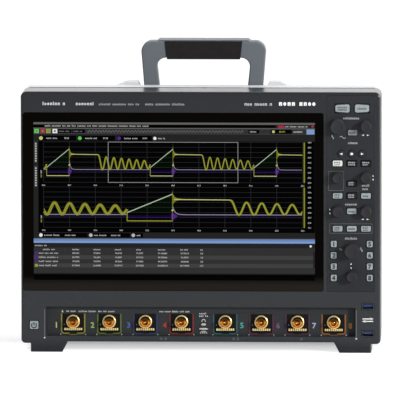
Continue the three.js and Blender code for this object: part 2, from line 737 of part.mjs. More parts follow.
function fanFrame() {
  const half = FAN.size / 2;
  const outline = roundedRectangle(FAN.x - half, FAN.x + half, FAN.z - half, FAN.z + half, 5);
  const square = slab(outline, FAN.front, FAN.back, 2);
  const ring = square.subtract(bar(FAN.x, FAN.z, FAN.duct, FAN.front - 1, FAN.back + 1, 32));
  const strutFront = FAN.back - 4;
  const hub = bar(FAN.x, FAN.z, ROTOR.hub, strutFront, FAN.back, 20);
  const strutA = block(FAN.x - half + 2, FAN.x + half - 2, strutFront, FAN.back - 1, FAN.z - 2, FAN.z + 2);
  const strutB = block(FAN.x - 2, FAN.x + 2, strutFront, FAN.back - 1, FAN.z - half + 2, FAN.z + half - 2);
  const pin = bar(FAN.x, FAN.z, 2, ROTOR.back - 8, strutFront + 1, 12);
  return join([ring, hub, strutA, strutB, pin]);
}

/** The fan's rotor: a hub with raked blades. */
function fanRotor() {
  const hub = bar(FAN.x, FAN.z, ROTOR.hub, ROTOR.front, ROTOR.back, 20);
  const blades = [];
  for (let i = 0; i < ROTOR.blades; i++) {
    const blade = new THREE.BoxGeometry(ROTOR.tip - ROTOR.hub + 3, 13, 1.6);
    blade.translate((ROTOR.tip + ROTOR.hub - 3) / 2, 0, 0);
    blade.rotateX(0.7);
    blade.rotateY((2 * Math.PI * i) / ROTOR.blades);
    blade.translate(FAN.x, FRONT_Y + (ROTOR.front + ROTOR.back) / 2, FAN.z);
    blades.push(solid(blade));
  }
  const bore = bar(FAN.x, FAN.z, 2.3, ROTOR.back - 9, ROTOR.back + 1, 12);
  return join([hub, ...blades]).subtract(bore);
}

/** The plate behind both openings of the back wall: mains inlet, network, display, USB and sync sockets. */
function rearConnectorPlate() {
  const front = CASE_DEPTH - WALL - GAP - 2;
  const face = front + 2;
  const margin = 4;
  const top = REAR_IO.top + margin;
  const plateLeft = INLET.left - margin;
  const plateRight = REAR_IO.right + margin;
  const plate = block(plateLeft, plateRight, front, face, REAR_IO.bottom - margin, top);
  const sockets = [
    [-58, 16, 14],
    [-30, 15, 6],
    [-8, 15, 6],
    [18, 14, 16],
    [42, 14, 16],
  ].map(([x, width, height]) =>
    block(x - width / 2, x + width / 2, face - 0.1, CASE_DEPTH, 45 - height / 2, 45 + height / 2),
  );
  const jacks = [72, 98, 124, 150].map((x) => bar(x, 45, 4.85, face - 0.1, CASE_DEPTH + 4.5, 16));
  const { left, right, bottom } = INLET;
  const inlet = block(left + 2, right - 2, face - 0.1, CASE_DEPTH, bottom + 2, INLET.top - 2);
  const socketHollow = block(left + 8, right - 8, face + 0.5, CASE_DEPTH + 1, 36, 52);
  return join([plate, ...sockets, ...jacks, inlet.subtract(socketHollow)]);
}

// ---------------------------------------------------------------- the assembly
piece("front_bezel", frontBezel(), darkPlastic);
piece("display_glass", displayGlass(), glass);
piece("lcd_module", lcdModule(), displayMetal);
piece("keypad_panel", keypadPanel(), panelPlastic);
piece("keypad_board", keypadBoard(), boardGreen);
piece("input_panel", inputPanel(), panelPlastic);
for (let channel = 1; channel <= 8; channel++) {
  piece("input_connector_" + channel, inputConnector(inputX(channel)), gold);
}
piece("usb_port_upper", usbPort(USB.upper), steel);
piece("usb_port_lower", usbPort(USB.lower), steel);

const DARK_KEYS = /navigate|auto_scale|default_setup|quick_action|clear_display/;
for (const [name, key] of Object.entries(KEYS)) {
  const finish = name === "key_touch" ? whiteKey : DARK_KEYS.test(name) ? darkKey : lightKey;
  piece(name, pushKey(key, KEYPAD.back), finish);
}
piece("key_power", pushKey(POWER, FACE), lightKey);
for (const [name, knob] of Object.entries(KNOBS)) {
  piece(name, rotaryKnob(knob), knobPlastic);
}

piece("rear_housing", rearHousing(), lightPlastic);
piece("handle_frame", handleFrame(), handlePlastic);
piece("handle_grip", handleGrip(), rubber);
piece("tilt_leg_right", tiltLeg(), darkPlastic);
piece("tilt_leg_left", mirrored(tiltLeg()), darkPlastic);
piece("acquisition_board", acquisitionBoard(), boardGreen);
piece("power_supply", powerSupply(), steel);
piece("fan_frame", fanFrame(), fanPlastic);
piece("fan_rotor", fanRotor(), fanPlastic);
piece("rear_connector_plate", rearConnectorPlate(), steel);

const oscilloscope = new THREE.Group();
oscilloscope.add(...solids);

export default oscilloscope;
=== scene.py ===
"""Looks for an eight-channel bench oscilloscope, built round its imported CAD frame.

Shapes are drawn in millimetres, as (x, z) outlines at depths behind the front face, and turned into
metres as they join a piece. Screen graphics are laid out from the display's top left corner.
"""
import math
import random

import bmesh
import bpy
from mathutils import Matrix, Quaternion, Vector


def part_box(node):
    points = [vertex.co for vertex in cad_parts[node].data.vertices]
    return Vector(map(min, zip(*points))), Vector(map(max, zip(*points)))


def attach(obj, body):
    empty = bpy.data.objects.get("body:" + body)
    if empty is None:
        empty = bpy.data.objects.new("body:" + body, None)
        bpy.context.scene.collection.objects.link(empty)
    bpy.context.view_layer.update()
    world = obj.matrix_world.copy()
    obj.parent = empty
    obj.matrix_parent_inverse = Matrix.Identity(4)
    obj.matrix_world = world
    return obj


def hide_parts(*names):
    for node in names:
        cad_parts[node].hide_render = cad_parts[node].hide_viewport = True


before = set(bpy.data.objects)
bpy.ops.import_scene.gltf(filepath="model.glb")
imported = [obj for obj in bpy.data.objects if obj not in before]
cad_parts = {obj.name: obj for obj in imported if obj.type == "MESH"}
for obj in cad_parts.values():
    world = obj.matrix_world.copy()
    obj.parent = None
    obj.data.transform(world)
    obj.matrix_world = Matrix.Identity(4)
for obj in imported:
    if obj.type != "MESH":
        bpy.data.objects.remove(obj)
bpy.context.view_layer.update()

MM = 0.001
CASE = "case"  # the body that every fixed piece rides on
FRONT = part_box("front_bezel")[0].y  # the front face, in metres
ART = random.Random(8)  # seeded, so that word-like marks and readings come out the same each time

LCD_WIDTH = 344.2
PRINT, SUNK = 0.08, 0.02  # how far printing stands off its surface, and how far it reaches in
FLANGE = 0.8  # the hidden lip round each key
GLASS_FRONT = (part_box("display_glass")[0].y - FRONT) / MM
KEYPAD_FRONT = (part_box("keypad_panel")[0].y - FRONT) / MM


# ---------------------------------------------------------------- places taken from the frame
def centre(node):
    """The middle of a CAD node seen from the front, as (x, z) in millimetres."""
    low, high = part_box(node)
    return (low.x + high.x) / 2 / MM, (low.z + high.z) / 2 / MM


def span(node):
    """The width and height of a CAD node seen from the front, in millimetres."""
    low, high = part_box(node)
    return (high.x - low.x) / MM, (high.z - low.z) / MM


def depth_of(node):
    """The nearest and farthest depth of a CAD node behind the front face, in millimetres."""
    low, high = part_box(node)
    return (low.y - FRONT) / MM, (high.y - FRONT) / MM


# ---------------------------------------------------------------- materials
class Wiring:
    """A node tree being wired up."""

    def __init__(self, tree):
        self.tree = tree

    def node(self, kind, **inputs):
        """A new node; an underscore in the name of an input stands for a space."""
        made = self.tree.nodes.new(kind)
        for key, value in inputs.items():
            made.inputs[key.replace("_", " ")].default_value = value
        return made

    def link(self, source, target):
        self.tree.links.new(source, target)

    def along(self, axis, space="Object"):
        """One coordinate; object coordinates are in metres."""
        parts = self.node("ShaderNodeSeparateXYZ")
        self.link(self.node("ShaderNodeTexCoord").outputs[space], parts.inputs["Vector"])
        return parts.outputs[axis]

    def between(self, factor, low, high, start=0.3, end=0.7):
        """A value that goes from low to high as the factor goes from start to end."""
        ranged = self.node("ShaderNodeMapRange", From_Min=start, From_Max=end, To_Min=low, To_Max=high)
        self.link(factor, ranged.inputs["Value"])
        return ranged.outputs["Result"]


class Look(Wiring):
    """A node material being wired up, with its surface shader."""

    def __init__(self, name):
        self.material = bpy.data.materials.new(name)
        self.material.use_nodes = True
        super().__init__(self.material.node_tree)
        self.surface = self.tree.nodes["Principled BSDF"]

    def textured(self, kind, stretch=None, **inputs):
        """A texture node laid out in metres, scaled or turned by a mapping if one is given."""
        texture = self.node(kind, **inputs)
        place = self.node("ShaderNodeTexCoord").outputs["Object"]
        if stretch:
            mapping = self.node("ShaderNodeMapping", **stretch)
            self.link(place, mapping.inputs["Vector"])
            place = mapping.outputs["Vector"]
        self.link(place, texture.inputs["Vector"])
        return texture

    def noise(self, size_mm, detail=2.0, roughness=0.5):
        """Noise whose blobs are about this many millimetres across."""
        scale = 1 / (size_mm * MM)
        noise = self.textured("ShaderNodeTexNoise", Scale=scale, Detail=detail, Roughness=roughness)
        return noise.outputs["Fac"]

    def patches(self, size_mm, detail=2.0):
        """Noise spread out to the full range from 0 to 1."""
        return self.between(self.noise(size_mm, detail), 0, 1)

    def mix(self, factor, first, second):
        """A colour between two colours; the factor is a number or a socket."""
        mixed = self.tree.nodes.new("ShaderNodeMix")
        mixed.data_type = "RGBA"
        for name, colour in (("A", first), ("B", second)):
            socket = next(s for s in mixed.inputs if s.name == name and s.type == "RGBA")
            if isinstance(colour, tuple):
                socket.default_value = (*colour, 1)
            else:
                self.link(colour, socket)
        if isinstance(factor, float):
            mixed.inputs[0].default_value = factor
        else:
            self.link(factor, mixed.inputs[0])
        return next(s for s in mixed.outputs if s.type == "RGBA")

    def paint(self, factor, first, second):
        """Gives the surface a colour between two colours."""
        self.link(self.mix(factor, first, second), self.surface.inputs["Base Color"])

    def gloss(self, factor, low, high):
        """Gives the surface a roughness that follows the factor from low to high."""
        self.link(self.between(factor, low, high), self.surface.inputs["Roughness"])

    def bump(self, height, strength, distance_mm):
        bump = self.node("ShaderNodeBump", Strength=strength, Distance=distance_mm * MM)
        self.link(height, bump.inputs["Height"])
        self.link(bump.outputs["Normal"], self.surface.inputs["Normal"])

    def set(self, **inputs):
        for key, value in inputs.items():
            self.surface.inputs[key.replace("_", " ")].default_value = value


def shade(colour, factor):
    return tuple(channel * factor for channel in colour)


def moulded(name, colour, roughness, grain_mm=0.35, grain=0.12, drift=0.12, sheen=0.5):
    """Moulded plastic: spark-eroded grain, slow drift in colour, and uneven gloss."""
    look = Look(name)
    cast = look.mix(look.patches(60, 3), shade(colour, 1 - drift), shade(colour, 1 + drift))
    flecked = look.mix(look.patches(grain_mm), shade(colour, 0.9), shade(colour, 1.1))
    fleck_share = 0.35
    look.paint(fleck_share, cast, flecked)
    look.gloss(look.noise(9, 4), roughness - 0.05, roughness + 0.07)
    look.bump(look.noise(grain_mm, 1), grain, 0.05)
    look.set(Specular_IOR_Level=sheen)
    return look.material


def rubbery(name, colour, roughness=0.75):
    """Soft-touch rubber: fine pores, dusty highlights."""
    look = Look(name)
    look.paint(look.patches(14, 5), colour, shade(colour, 1.3))
    look.gloss(look.noise(4, 4), roughness - 0.08, roughness + 0.1)
    look.bump(look.noise(0.3, 2), 0.25, 0.06)
    look.set(Sheen_Weight=0.015, Sheen_Roughness=0.5, Specular_IOR_Level=0.2)
    return look.material


def metal(name, colour, roughness, metallic=1.0, tarnish=0.25):
    """Plated or brushed metal: drawn scratches and a little tarnish."""
    look = Look(name)
    drawn = {"Scale": (1, 6, 1)}
    scratch = look.textured("ShaderNodeTexNoise", drawn, Scale=1 / (0.25 * MM), Detail=3.0).outputs["Fac"]
    look.paint(look.patches(2.5, 4), shade(colour, 1 - tarnish), colour)
    look.gloss(scratch, roughness * 0.75, roughness * 1.35)
    look.bump(scratch, 0.08, 0.02)
    look.set(Metallic=metallic)
    return look.material


def socket_gold(name, shaded, bright, roughness):
    """Gold inside the sockets, which stand in one row, with painted shade above, where the rims would shade
    it, and painted light below.
    """
    look = Look(name)
    row = centre("input_connector_1")[1] * MM
    # Painted shade and light: the gold is darker above the row and brighter below it.
    below = look.between(look.along("Z"), 1, 0, row, row + 3 * MM)
    look.paint(below, shaded, look.mix(look.patches(1.2, 3), shade(bright, 0.7), bright))
    look.gloss(look.noise(0.8, 3), roughness - 0.06, roughness + 0.08)
    look.bump(look.noise(0.6, 2), 0.2, 0.05)
    look.set(Metallic=0.65)
    return look.material


def printed(name, colour, roughness=0.6):
    """Screen-printed ink: slightly uneven cover and a dry surface."""
    look = Look(name)
    look.paint(look.between(look.noise(0.5, 3), 0, 1, 0.25, 0.6), shade(colour, 0.82), colour)
    look.gloss(look.noise(1.5), roughness - 0.1, roughness + 0.1)
    look.bump(look.noise(0.2), 0.1, 0.02)
    return look.material


def lit(name, colour):
    """Lit pixels of the display: the colour glows through a fine grid of picture elements."""
    look = Look(name)
    pixel = 0.18 * MM
    upright = {"Rotation": (math.pi / 2, 0, 0)}
    sizes = {"Scale": 1.0, "Mortar_Size": 0.02 * MM, "Brick_Width": pixel, "Row_Height": pixel}
    grid = look.textured("ShaderNodeTexBrick", upright, **sizes)
    for part, strength in (("Color1", 1), ("Color2", 0.92), ("Mortar", 0.8)):
        grid.inputs[part].default_value = (*shade(colour, strength), 1)
    grid.offset = 0.0
    look.link(grid.outputs["Color"], look.surface.inputs["Emission Color"])
    look.set(Base_Color=(0, 0, 0, 1), Emission_Strength=1.0, Roughness=0.3, Specular_IOR_Level=0.01)
    return look.material


def front_plastic():
    """The bezel: dark grey moulded plastic with painted light that pales it downwards and painted shade on
    its feet near the bench.
    """
    look = Look("bezel_plastic")
    height = look.along("Z")
    # Painted light: the face pales towards the bottom, as if lit from the floor.
    painted_floor_light = look.between(height, 1, 0, 0.0, 0.32)
    face = look.mix(painted_floor_light, (0.013, 0.0135, 0.0165), (0.023, 0.026, 0.0295))
    # Painted shade: the feet darken near the bench.
    painted_bench_shade = look.between(height, 1, 0, 0.006, 0.018)
    body = look.mix(painted_bench_shade, face, (0.012, 0.013, 0.0155))
    flecks = look.between(look.noise(0.4), 0, 0.06)
    look.paint(flecks, body, (0.036, 0.038, 0.042))
    look.gloss(look.noise(40, 1), 0.27, 0.29)
    look.bump(look.noise(0.4, 1), 0.02, 0.02)
    look.set(Specular_IOR_Level=0.27)
    return look.material


def touch_glass():
    """The black-backed touch glass: smears, and a painted reflection that makes a paler band along its lower
    edge.
    """
    look = Look("touch_glass")
    # Painted reflection: the glass is paler along its lower edge.
    painted_reflection_band = look.between(look.along("Z"), 1, 0, 0.083, 0.094)
    look.paint(painted_reflection_band, (0.0012, 0.001, 0.0006), (0.013, 0.011, 0.0095))
    look.gloss(look.noise(45, 5), 0.03, 0.09)
    look.set(Specular_IOR_Level=0.015)
    return look.material


BEZEL = front_plastic()
PANEL = moulded("keypad_plastic", (0.0175, 0.0185, 0.0215), 0.45, 0.3, 0.06, 0.1, 0.2)
TRAY = moulded("tray_plastic", (0.022, 0.024, 0.027), 0.5, 0.35, 0.1, 0.1, 0.25)
HOUSING = moulded("housing_plastic", (0.6, 0.61, 0.62), 0.5, 0.45, 0.16, 0.04, 0.4)
HANDLE = moulded("handle_plastic", (0.12, 0.133, 0.149), 0.46, 0.3, 0.08, 0.08, 0.2)
GRIP = rubbery("grip_rubber", (0.008, 0.0068, 0.0072))
KNOB = rubbery("knob_rubber", (0.016, 0.0158, 0.0175), 0.6)
LIGHT_KEY = moulded("light_key", (0.255, 0.29, 0.30), 0.42, 0.25, 0.06, 0.05)
WHITE_KEY = moulded("white_key", (0.62, 0.64, 0.6), 0.4, 0.25, 0.05, 0.03)
DIM_KEY = moulded("dim_key", (0.15, 0.16, 0.165), 0.42, 0.25, 0.06, 0.05)
DARK_KEY = moulded("dark_key", (0.006, 0.0062, 0.007), 0.4, 0.25, 0.06, 0.1, 0.25)
GLASS = touch_glass()
GOLD = metal("gold_plate", (0.9, 0.62, 0.24), 0.22)
PALE_GOLD = metal("pale_gold", (1.0, 0.77, 0.34), 0.3, 0.5)
# Both socket golds carry painted shade above and painted light below; the cavity gold is also a darker copy,
# painted shade inside the sockets.
AMBER = socket_gold("socket_barrel_gold_painted_shade_and_light", (0.10, 0.045, 0.012), (1.0, 0.5, 0.07), 0.3)
SOCKET_SHADE = socket_gold("socket_cavity_gold_painted_shade_and_light", (0.02, 0.009, 0.003), (0.66, 0.27, 0.03), 0.4)
TERMINAL = metal("tinned_terminal", (0.8, 0.79, 0.76), 0.45)
STEEL = metal("bright_steel", (0.62, 0.63, 0.64), 0.3)
SLEEVE = metal("usb_sleeve", (0.10, 0.105, 0.115), 0.35)
REAR_PLATE = metal("rear_plate_metal", (0.3, 0.31, 0.32), 0.5, 0.8)
USB_BLUE = moulded("usb_tongue", (0.005, 0.028, 0.17), 0.4, 0.3, 0.05)
BLACK = moulded("black_insert", (0.003, 0.003, 0.0033), 0.5, 0.3, 0.06, 0.1, 0.15)
BOARD = moulded("circuit_board", (0.012, 0.06, 0.034), 0.45, 0.6, 0.08)
FAN = moulded("fan_plastic", (0.008, 0.0085, 0.009), 0.45, 0.4, 0.08)
INK = printed("pale_ink", (0.55, 0.56, 0.57))
CAPTION_INK = printed("caption_ink", (0.36, 0.365, 0.37))
DIM_INK = printed("dim_ink", (0.28, 0.285, 0.29))
WHITE_INK = printed("white_ink", (0.82, 0.83, 0.83))
LINE_INK = printed("line_ink", (0.105, 0.11, 0.115))
KEY_INK = printed("key_ink", (0.012, 0.016, 0.02))

# The numeral and the duller frame of each channel.
CHANNEL_COLOURS = (
    ((0.48, 0.48, 0.16), (0.21, 0.2, 0.022)),
    ((0.28, 0.44, 0.11), (0.085, 0.135, 0.013)),
    ((0.04, 0.12, 0.38), (0.013, 0.024, 0.12)),
    ((0.38, 0.02, 0.02), (0.16, 0.007, 0.008)),
    ((0.05, 0.36, 0.34), (0.007, 0.09, 0.1)),
    ((0.18, 0.06, 0.19), (0.065, 0.006, 0.035)),
    ((0.38, 0.38, 0.52), (0.045, 0.012, 0.038)),
    ((0.42, 0.19, 0.02), (0.24, 0.085, 0.009)),
)
NUMERAL_INKS = {}
FRAME_INKS = {}
for channel, (numeral, surround) in enumerate(CHANNEL_COLOURS, start=1):
    NUMERAL_INKS[channel] = printed("numeral_ink_%d" % channel, numeral)
    FRAME_INKS[channel] = printed("frame_ink_%d" % channel, surround)

for node, material in {
    "front_bezel": BEZEL,
    "display_glass": GLASS,
    "lcd_module": BLACK,
    "keypad_panel": PANEL,
    "keypad_board": BOARD,
    "input_panel": TRAY,
    "usb_port_upper": SLEEVE,
    "usb_port_lower": SLEEVE,
    "rear_housing": HOUSING,
    "handle_frame": HANDLE,
    "tilt_leg_left": BEZEL,
    "tilt_leg_right": BEZEL,
    "acquisition_board": BOARD,
    "power_supply": STEEL,
    "fan_frame": FAN,
    "fan_rotor": FAN,
    "rear_connector_plate": REAR_PLATE,
    "handle_grip": GRIP,
}.items():
    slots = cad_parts[node].data.materials
    slots.clear()
    slots.append(material)


# ---------------------------------------------------------------- outlines
def rounded(x, z, width, height, radius, steps=5):
    """A rounded rectangle about (x, z), listed anticlockwise as seen from the front."""
    points = []
    for corner, (sx, sz) in enumerate(((1, -1), (1, 1), (-1, 1), (-1, -1))):
        cx, cz = x + sx * (width / 2 - radius), z + sz * (height / 2 - radius)
        start = (corner - 1) * math.pi / 2
        for step in range(steps + 1):
            angle = start + step / steps * math.pi / 2
            points.append((cx + radius * math.cos(angle), cz + radius * math.sin(angle)))
    return points


def box_outline(left, right, bottom, top):
    return [(left, bottom), (right, bottom), (right, top), (left, top)]


def disc(x, z, radius, segments=24):
    turns = (2 * math.pi * i / segments for i in range(segments))
    return [(x + radius * math.cos(t), z + radius * math.sin(t)) for t in turns]


def arrow(x, z, size, turn, slim=1.0):
    """A small triangle that points along the angle turn, in degrees; a low slim narrows its base."""
    ahead = (math.cos(math.radians(turn)), math.sin(math.radians(turn)))
    corners = []
    for along, aside in ((1, 0), (-0.64, 0.77 * slim), (-0.64, -0.77 * slim)):
        corners.append((x + size * (along * ahead[0] - aside * ahead[1]),
                        z + size * (along * ahead[1] + aside * ahead[0])))
    return corners


def stroke(points, width):
    """The two sides of a line of even width along points; corners are mitred and ends are square."""
    normals = []
    for (ax, az), (bx, bz) in zip(points, points[1:]):
        length = math.hypot(bx - ax, bz - az)
        normals.append((-(bz - az) / length, (bx - ax) / length))
    left, right = [], []
    for i, (x, z) in enumerate(points):
        before, after = normals[max(i - 1, 0)], normals[min(i, len(normals) - 1)]
        mx, mz = before[0] + after[0], before[1] + after[1]
        reach = width / max(mx * mx + mz * mz, 0.5)
        left.append((x + mx * reach, z + mz * reach))
        right.append((x - mx * reach, z - mz * reach))
    return left, right


def glyph_shape(text, weight):
    """The flat shape of numerals in the built-in font: its points, faces and rim edges."""
    curve = bpy.data.curves.new("numerals", "FONT")
    curve.body = text
    curve.offset = weight
    curve.resolution_u = 2
    letters = bpy.data.objects.new("numerals", curve)
    flat = bmesh.new()
    flat.from_mesh(letters.to_mesh())
    letters.to_mesh_clear()
    bmesh.ops.remove_doubles(flat, verts=flat.verts, dist=0.0005)
    xs = [v.co.x for v in flat.verts]
    ys = [v.co.y for v in flat.verts]
    tall = max(ys) - min(ys)
    middle_x, middle_y = (max(xs) + min(xs)) / 2, (max(ys) + min(ys)) / 2
    points = [((v.co.x - middle_x) / tall, (v.co.y - middle_y) / tall) for v in flat.verts]
    faces = [[v.index for v in face.verts] for face in flat.faces]
    rim = [[v.index for v in edge.verts] for edge in flat.edges if len(edge.link_faces) == 1]
    flat.free()
    bpy.data.objects.remove(letters)
    bpy.data.curves.remove(curve)
    return points, faces, rim


# ---------------------------------------------------------------- piece building
def put(name, data):
    """A new object in the scene."""
    made = bpy.data.objects.new(name, data)
    bpy.context.scene.collection.objects.link(made)
    return made


class Piece:
    """One visible piece: closed solids gathered in a mesh, each with its own material."""

    def __init__(self):
        self.mesh = bmesh.new()
        self.materials = []

    def index(self, material):
        if material not in self.materials:
            self.materials.append(material)
        return self.materials.index(material)

    def ring(self, outline, depth):
        return [self.mesh.verts.new((x * MM, FRONT + depth * MM, z * MM)) for x, z in outline]

    def skin(self, rings, material):
        """Closes a run of rings of equal length into one solid; the first ring is the nearest."""
        slot = self.index(material)
        faces = []
        for near, far in zip(rings, rings[1:]):
            for i in range(len(near)):
                j = (i + 1) % len(near)
                faces.append(self.mesh.faces.new((near[j], near[i], far[i], far[j])))
        faces.append(self.mesh.faces.new(rings[0]))
        faces.append(self.mesh.faces.new(rings[-1][::-1]))
        for face in faces:
            face.material_index = slot

    def loft(self, outlines, material):
        """A solid through (outline, depth) pairs."""
        self.skin([self.ring(outline, depth) for outline, depth in outlines], material)

    def plate(self, outline, front, back, material):
        self.loft([(outline, front), (outline, back)], material)

    def ribbon(self, points, width, front, back, material):
        """A flat line of even width that follows the points."""
        left, right = stroke(points, width)
        slot = self.index(material)
        near = [self.ring(side, front) for side in (left, right)]
        far = [self.ring(side, back) for side in (left, right)]
        quads = []
        for i in range(len(points) - 1):
            j = i + 1
            quads.append((near[0][i], near[1][i], near[1][j], near[0][j]))
            quads.append((far[0][j], far[1][j], far[1][i], far[0][i]))
            quads.append((near[0][j], far[0][j], far[0][i], near[0][i]))
            quads.append((near[1][i], far[1][i], far[1][j], near[1][j]))
        quads.append((near[0][0], far[0][0], far[1][0], near[1][0]))
        quads.append((near[1][-1], far[1][-1], far[0][-1], near[0][-1]))
        for quad in quads:
            self.mesh.faces.new(quad).material_index = slot

    def hoop(self, outlines, material):
        """A ring-like solid: (outline, depth) pairs that close on themselves."""
        rings = [self.ring(outline, depth) for outline, depth in outlines]
        slot = self.index(material)
        for near, far in zip(rings, rings[1:] + rings[:1]):
            for i in range(len(near)):
                j = (i + 1) % len(near)
                self.mesh.faces.new((near[j], near[i], far[i], far[j])).material_index = slot

    def turned_hoop(self, x, z, profile, segments, material):
        """A ring about the depth axis from a closed run of (radius, depth) pairs."""
        self.hoop([(disc(x, z, radius, segments), depth) for radius, depth in profile], material)

    def scribble(self, left, right, z, height, front, back, material, weight=0.2, word=(3, 7)):
        """Word-like groups of stems, arches and bowls that spell nothing, in place of a caption.

        Each word has from word[0] to word[1] letters.
        """
        low, body, pen = z - height / 2, height * 0.72, height * weight
        wide = body * 0.85
        hollow = wide - 2 * pen
        x, letters = left, ART.randint(*word)
        while x < right - wide:
            form = ART.choice(("stem", "arch", "bowl", "bowl", "arch"))
            if form == "stem":
                self.plate(box_outline(x, x + pen, low, low + height), front, back, material)
                x += pen * 2
            elif form == "arch":
                near, far, top = x + pen / 2, x + wide - pen / 2, low + body - pen / 2
                path = [(near, low), (near, top), (far, top), (far, low)]
                self.ribbon(path, pen, front, back, material)
                x += wide + pen
            else:
                outer = rounded(x + wide / 2, low + body / 2, wide, body, wide * 0.35, 1)
                inner_radius = min(pen * 0.5, hollow * 0.45)
                inner = rounded(x + wide / 2, low + body / 2, hollow, body - 2 * pen, inner_radius, 1)
                self.hoop([(outer, front), (inner, front), (inner, back), (outer, back)], material)
                x += wide + pen
            letters -= 1
            if letters == 0:
                letters = ART.randint(*word)
                x += wide * 1.1

    def lathe(self, x, z, profile, segments, material, ribs=0, rib_depth=0.0, ribbed=()):
        """A turned solid about the depth axis from (radius, depth) pairs; ribbed rings are fluted."""
        outlines = []
        for i, (radius, depth) in enumerate(profile):
            flute = rib_depth if i in ribbed else 0
            outline = []
            for k in range(segments):
                turn = 2 * math.pi * k / segments
                r = radius - flute * (0.5 + 0.5 * math.cos(ribs * turn))
                outline.append((x + r * math.cos(turn), z + r * math.sin(turn)))
            outlines.append((outline, depth))
        self.loft(outlines, material)

    def numerals(self, text, x, z, height, front, back, material, weight=0.0):
        """Solid numerals centred on (x, z)."""
        points, faces, rim = glyph_shape(str(text), weight)
        outline = [(x + px * height, z + pz * height) for px, pz in points]
        near, far = self.ring(outline, front), self.ring(outline, back)
        slot = self.index(material)
        for face in faces:
            self.mesh.faces.new([near[i] for i in face]).material_index = slot
            self.mesh.faces.new([far[i] for i in reversed(face)]).material_index = slot
        for a, b in rim:
            self.mesh.faces.new((near[a], near[b], far[b], far[a])).material_index = slot

    def build(self, name, body, replaces=(), slot=None, smooth_below=None):
        """Makes the object, gives it its materials and lets it ride on a CAD body."""
        bmesh.ops.recalc_face_normals(self.mesh, faces=self.mesh.faces)
        data = bpy.data.meshes.new(name)
        self.mesh.to_mesh(data)
        self.mesh.free()
        for material in self.materials:
            data.materials.append(material)
        made = put(name, data)
        if smooth_below:
            data.shade_smooth()
            data.set_sharp_from_angle(angle=math.radians(smooth_below))
        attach(made, body)
        if replaces:
            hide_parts(*replaces)
        return made

    def stand_for(self, node, slot, smooth_below=40):
        """Builds the piece in place of a CAD node that moves by itself."""
        self.build(node + "_cap", node, [node], slot, smooth_below)


def soften(node, width_mm, segments=2, angle=35):
    """Rounds the sharp edges of a CAD node as it is drawn."""
    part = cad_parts[node]
    merge = part.modifiers.new("merge_facets", "DECIMATE")
    merge.decimate_type = "DISSOLVE"
    merge.angle_limit = math.radians(1)
    bevel = part.modifiers.new("soft_edges", "BEVEL")
    bevel.width = width_mm * MM
    bevel.segments = segments
    bevel.limit_method = "ANGLE"
    bevel.angle_limit = math.radians(angle)
    bevel.harden_normals = True
    bevel.use_clamp_overlap = True
    part.data.shade_smooth()
    part.data.set_sharp_from_angle(angle=math.radians(angle))


def caption(piece, left, right, z, height, depth, material, weight=0.2, word=(3, 7)):
    """Word-like printing between left and right that lies on a face at the given depth."""
    piece.scribble(left, right, z, height, depth - PRINT, depth + SUNK, material, weight, word)


# ---------------------------------------------------------------- softened CAD edges
SOFT_EDGES = {
    "front_bezel": 0.5,
    "input_panel": 0.3,
    "rear_housing": 0.6,
    "tilt_leg_left": 0.4,
    "tilt_leg_right": 0.4,
    "display_glass": 0.25,
    "keypad_panel": 0.15,
}
for node, width_mm in SOFT_EDGES.items():
    soften(node, width_mm)
soften("handle_frame", 1.0, 3)
soften("handle_grip", 1.4, 4)


# ---------------------------------------------------------------- keys
DISH = 0.12  # how deep the middle of a key's face lies


def key_outline(node, inset, radius, slant):
    """A key's outline, inset from its hole; slant lowers the corners of its outer end."""
    x, z = centre(node)
    width, height = (size - 2 * FLANGE - 2 * inset for size in span(node))
    outline = rounded(x, z, width, height, max(min(radius, width / 2.01, height / 2.01), 0.3))
    if not slant:
        return outline
    return [(px, z + (pz - z) * (1 - abs(slant) * (0.5 + math.copysign(1, slant) * (px - x) / width)))
            for px, pz in outline]


def key_cap(node, material, radius=1.5, slant=0.0, gap=0.5):
    """A key with a softly dished face and a shadow gap round it, on a dark lip and plunger."""
    x, z = centre(node)
    nearest, farthest = depth_of(node)
    lip_back = farthest - 1.8
    lip_front = lip_back - 1.2
    cap = Piece()
    profile = [
        (gap + 2.2, nearest + DISH),
        (gap + 0.9, nearest + 0.03),
        (gap + 0.45, nearest),
        (gap + 0.15, nearest + 0.16),
        (gap, nearest + 0.5),
        (gap, lip_front - 0.05),
    ]
    face = [(key_outline(node, inset, radius - inset / 2, slant), depth) for inset, depth in profile]
    cap.loft(face, material)
    lip = [(key_outline(node, -FLANGE, radius, 0), depth) for depth in (lip_front, lip_back)]
    plunger = [(rounded(x, z, 4, 4, min(radius, 1.9)), depth) for depth in (lip_back, farthest)]
    cap.loft(lip + plunger, BLACK)
    return cap


def key_face(node):
    """The depths between which a mark lies on the dished middle of a key's face."""
    face = depth_of(node)[0] + DISH
    return face - 0.1, face


def key_caption(cap, node, lines, material):
    """Word-like printing on a key's face, in one line or two."""
    x, z = centre(node)
    half = (span(node)[0] / 2 - FLANGE) * 0.68
    height, line_pitch = (2.5, 2.9) if lines == 2 else (2.7, 0)
    for line in range(lines):
        row = z + (line - (lines - 1) / 2) * line_pitch
        reach = half * (0.85 + 0.15 * ART.random())
        caption(cap, x - reach, x + reach, row, height, key_face(node)[1], material, 0.25, (9, 9))


def power_mark(cap, node):
    """The generic power sign: an open ring and a bar."""
    x, z = centre(node)
    radius, pen, steps = 3.0, 1.3, 24
    ring = []
    for step in range(steps + 1):
        turn = math.radians(130 + 280 * step / steps)
        ring.append((x + radius * math.cos(turn), z - 0.3 + radius * math.sin(turn)))
    for line in (ring, [(x, z + 3.8), (x, z - 0.4)]):
        cap.ribbon(line, pen, *key_face(node), KEY_INK)


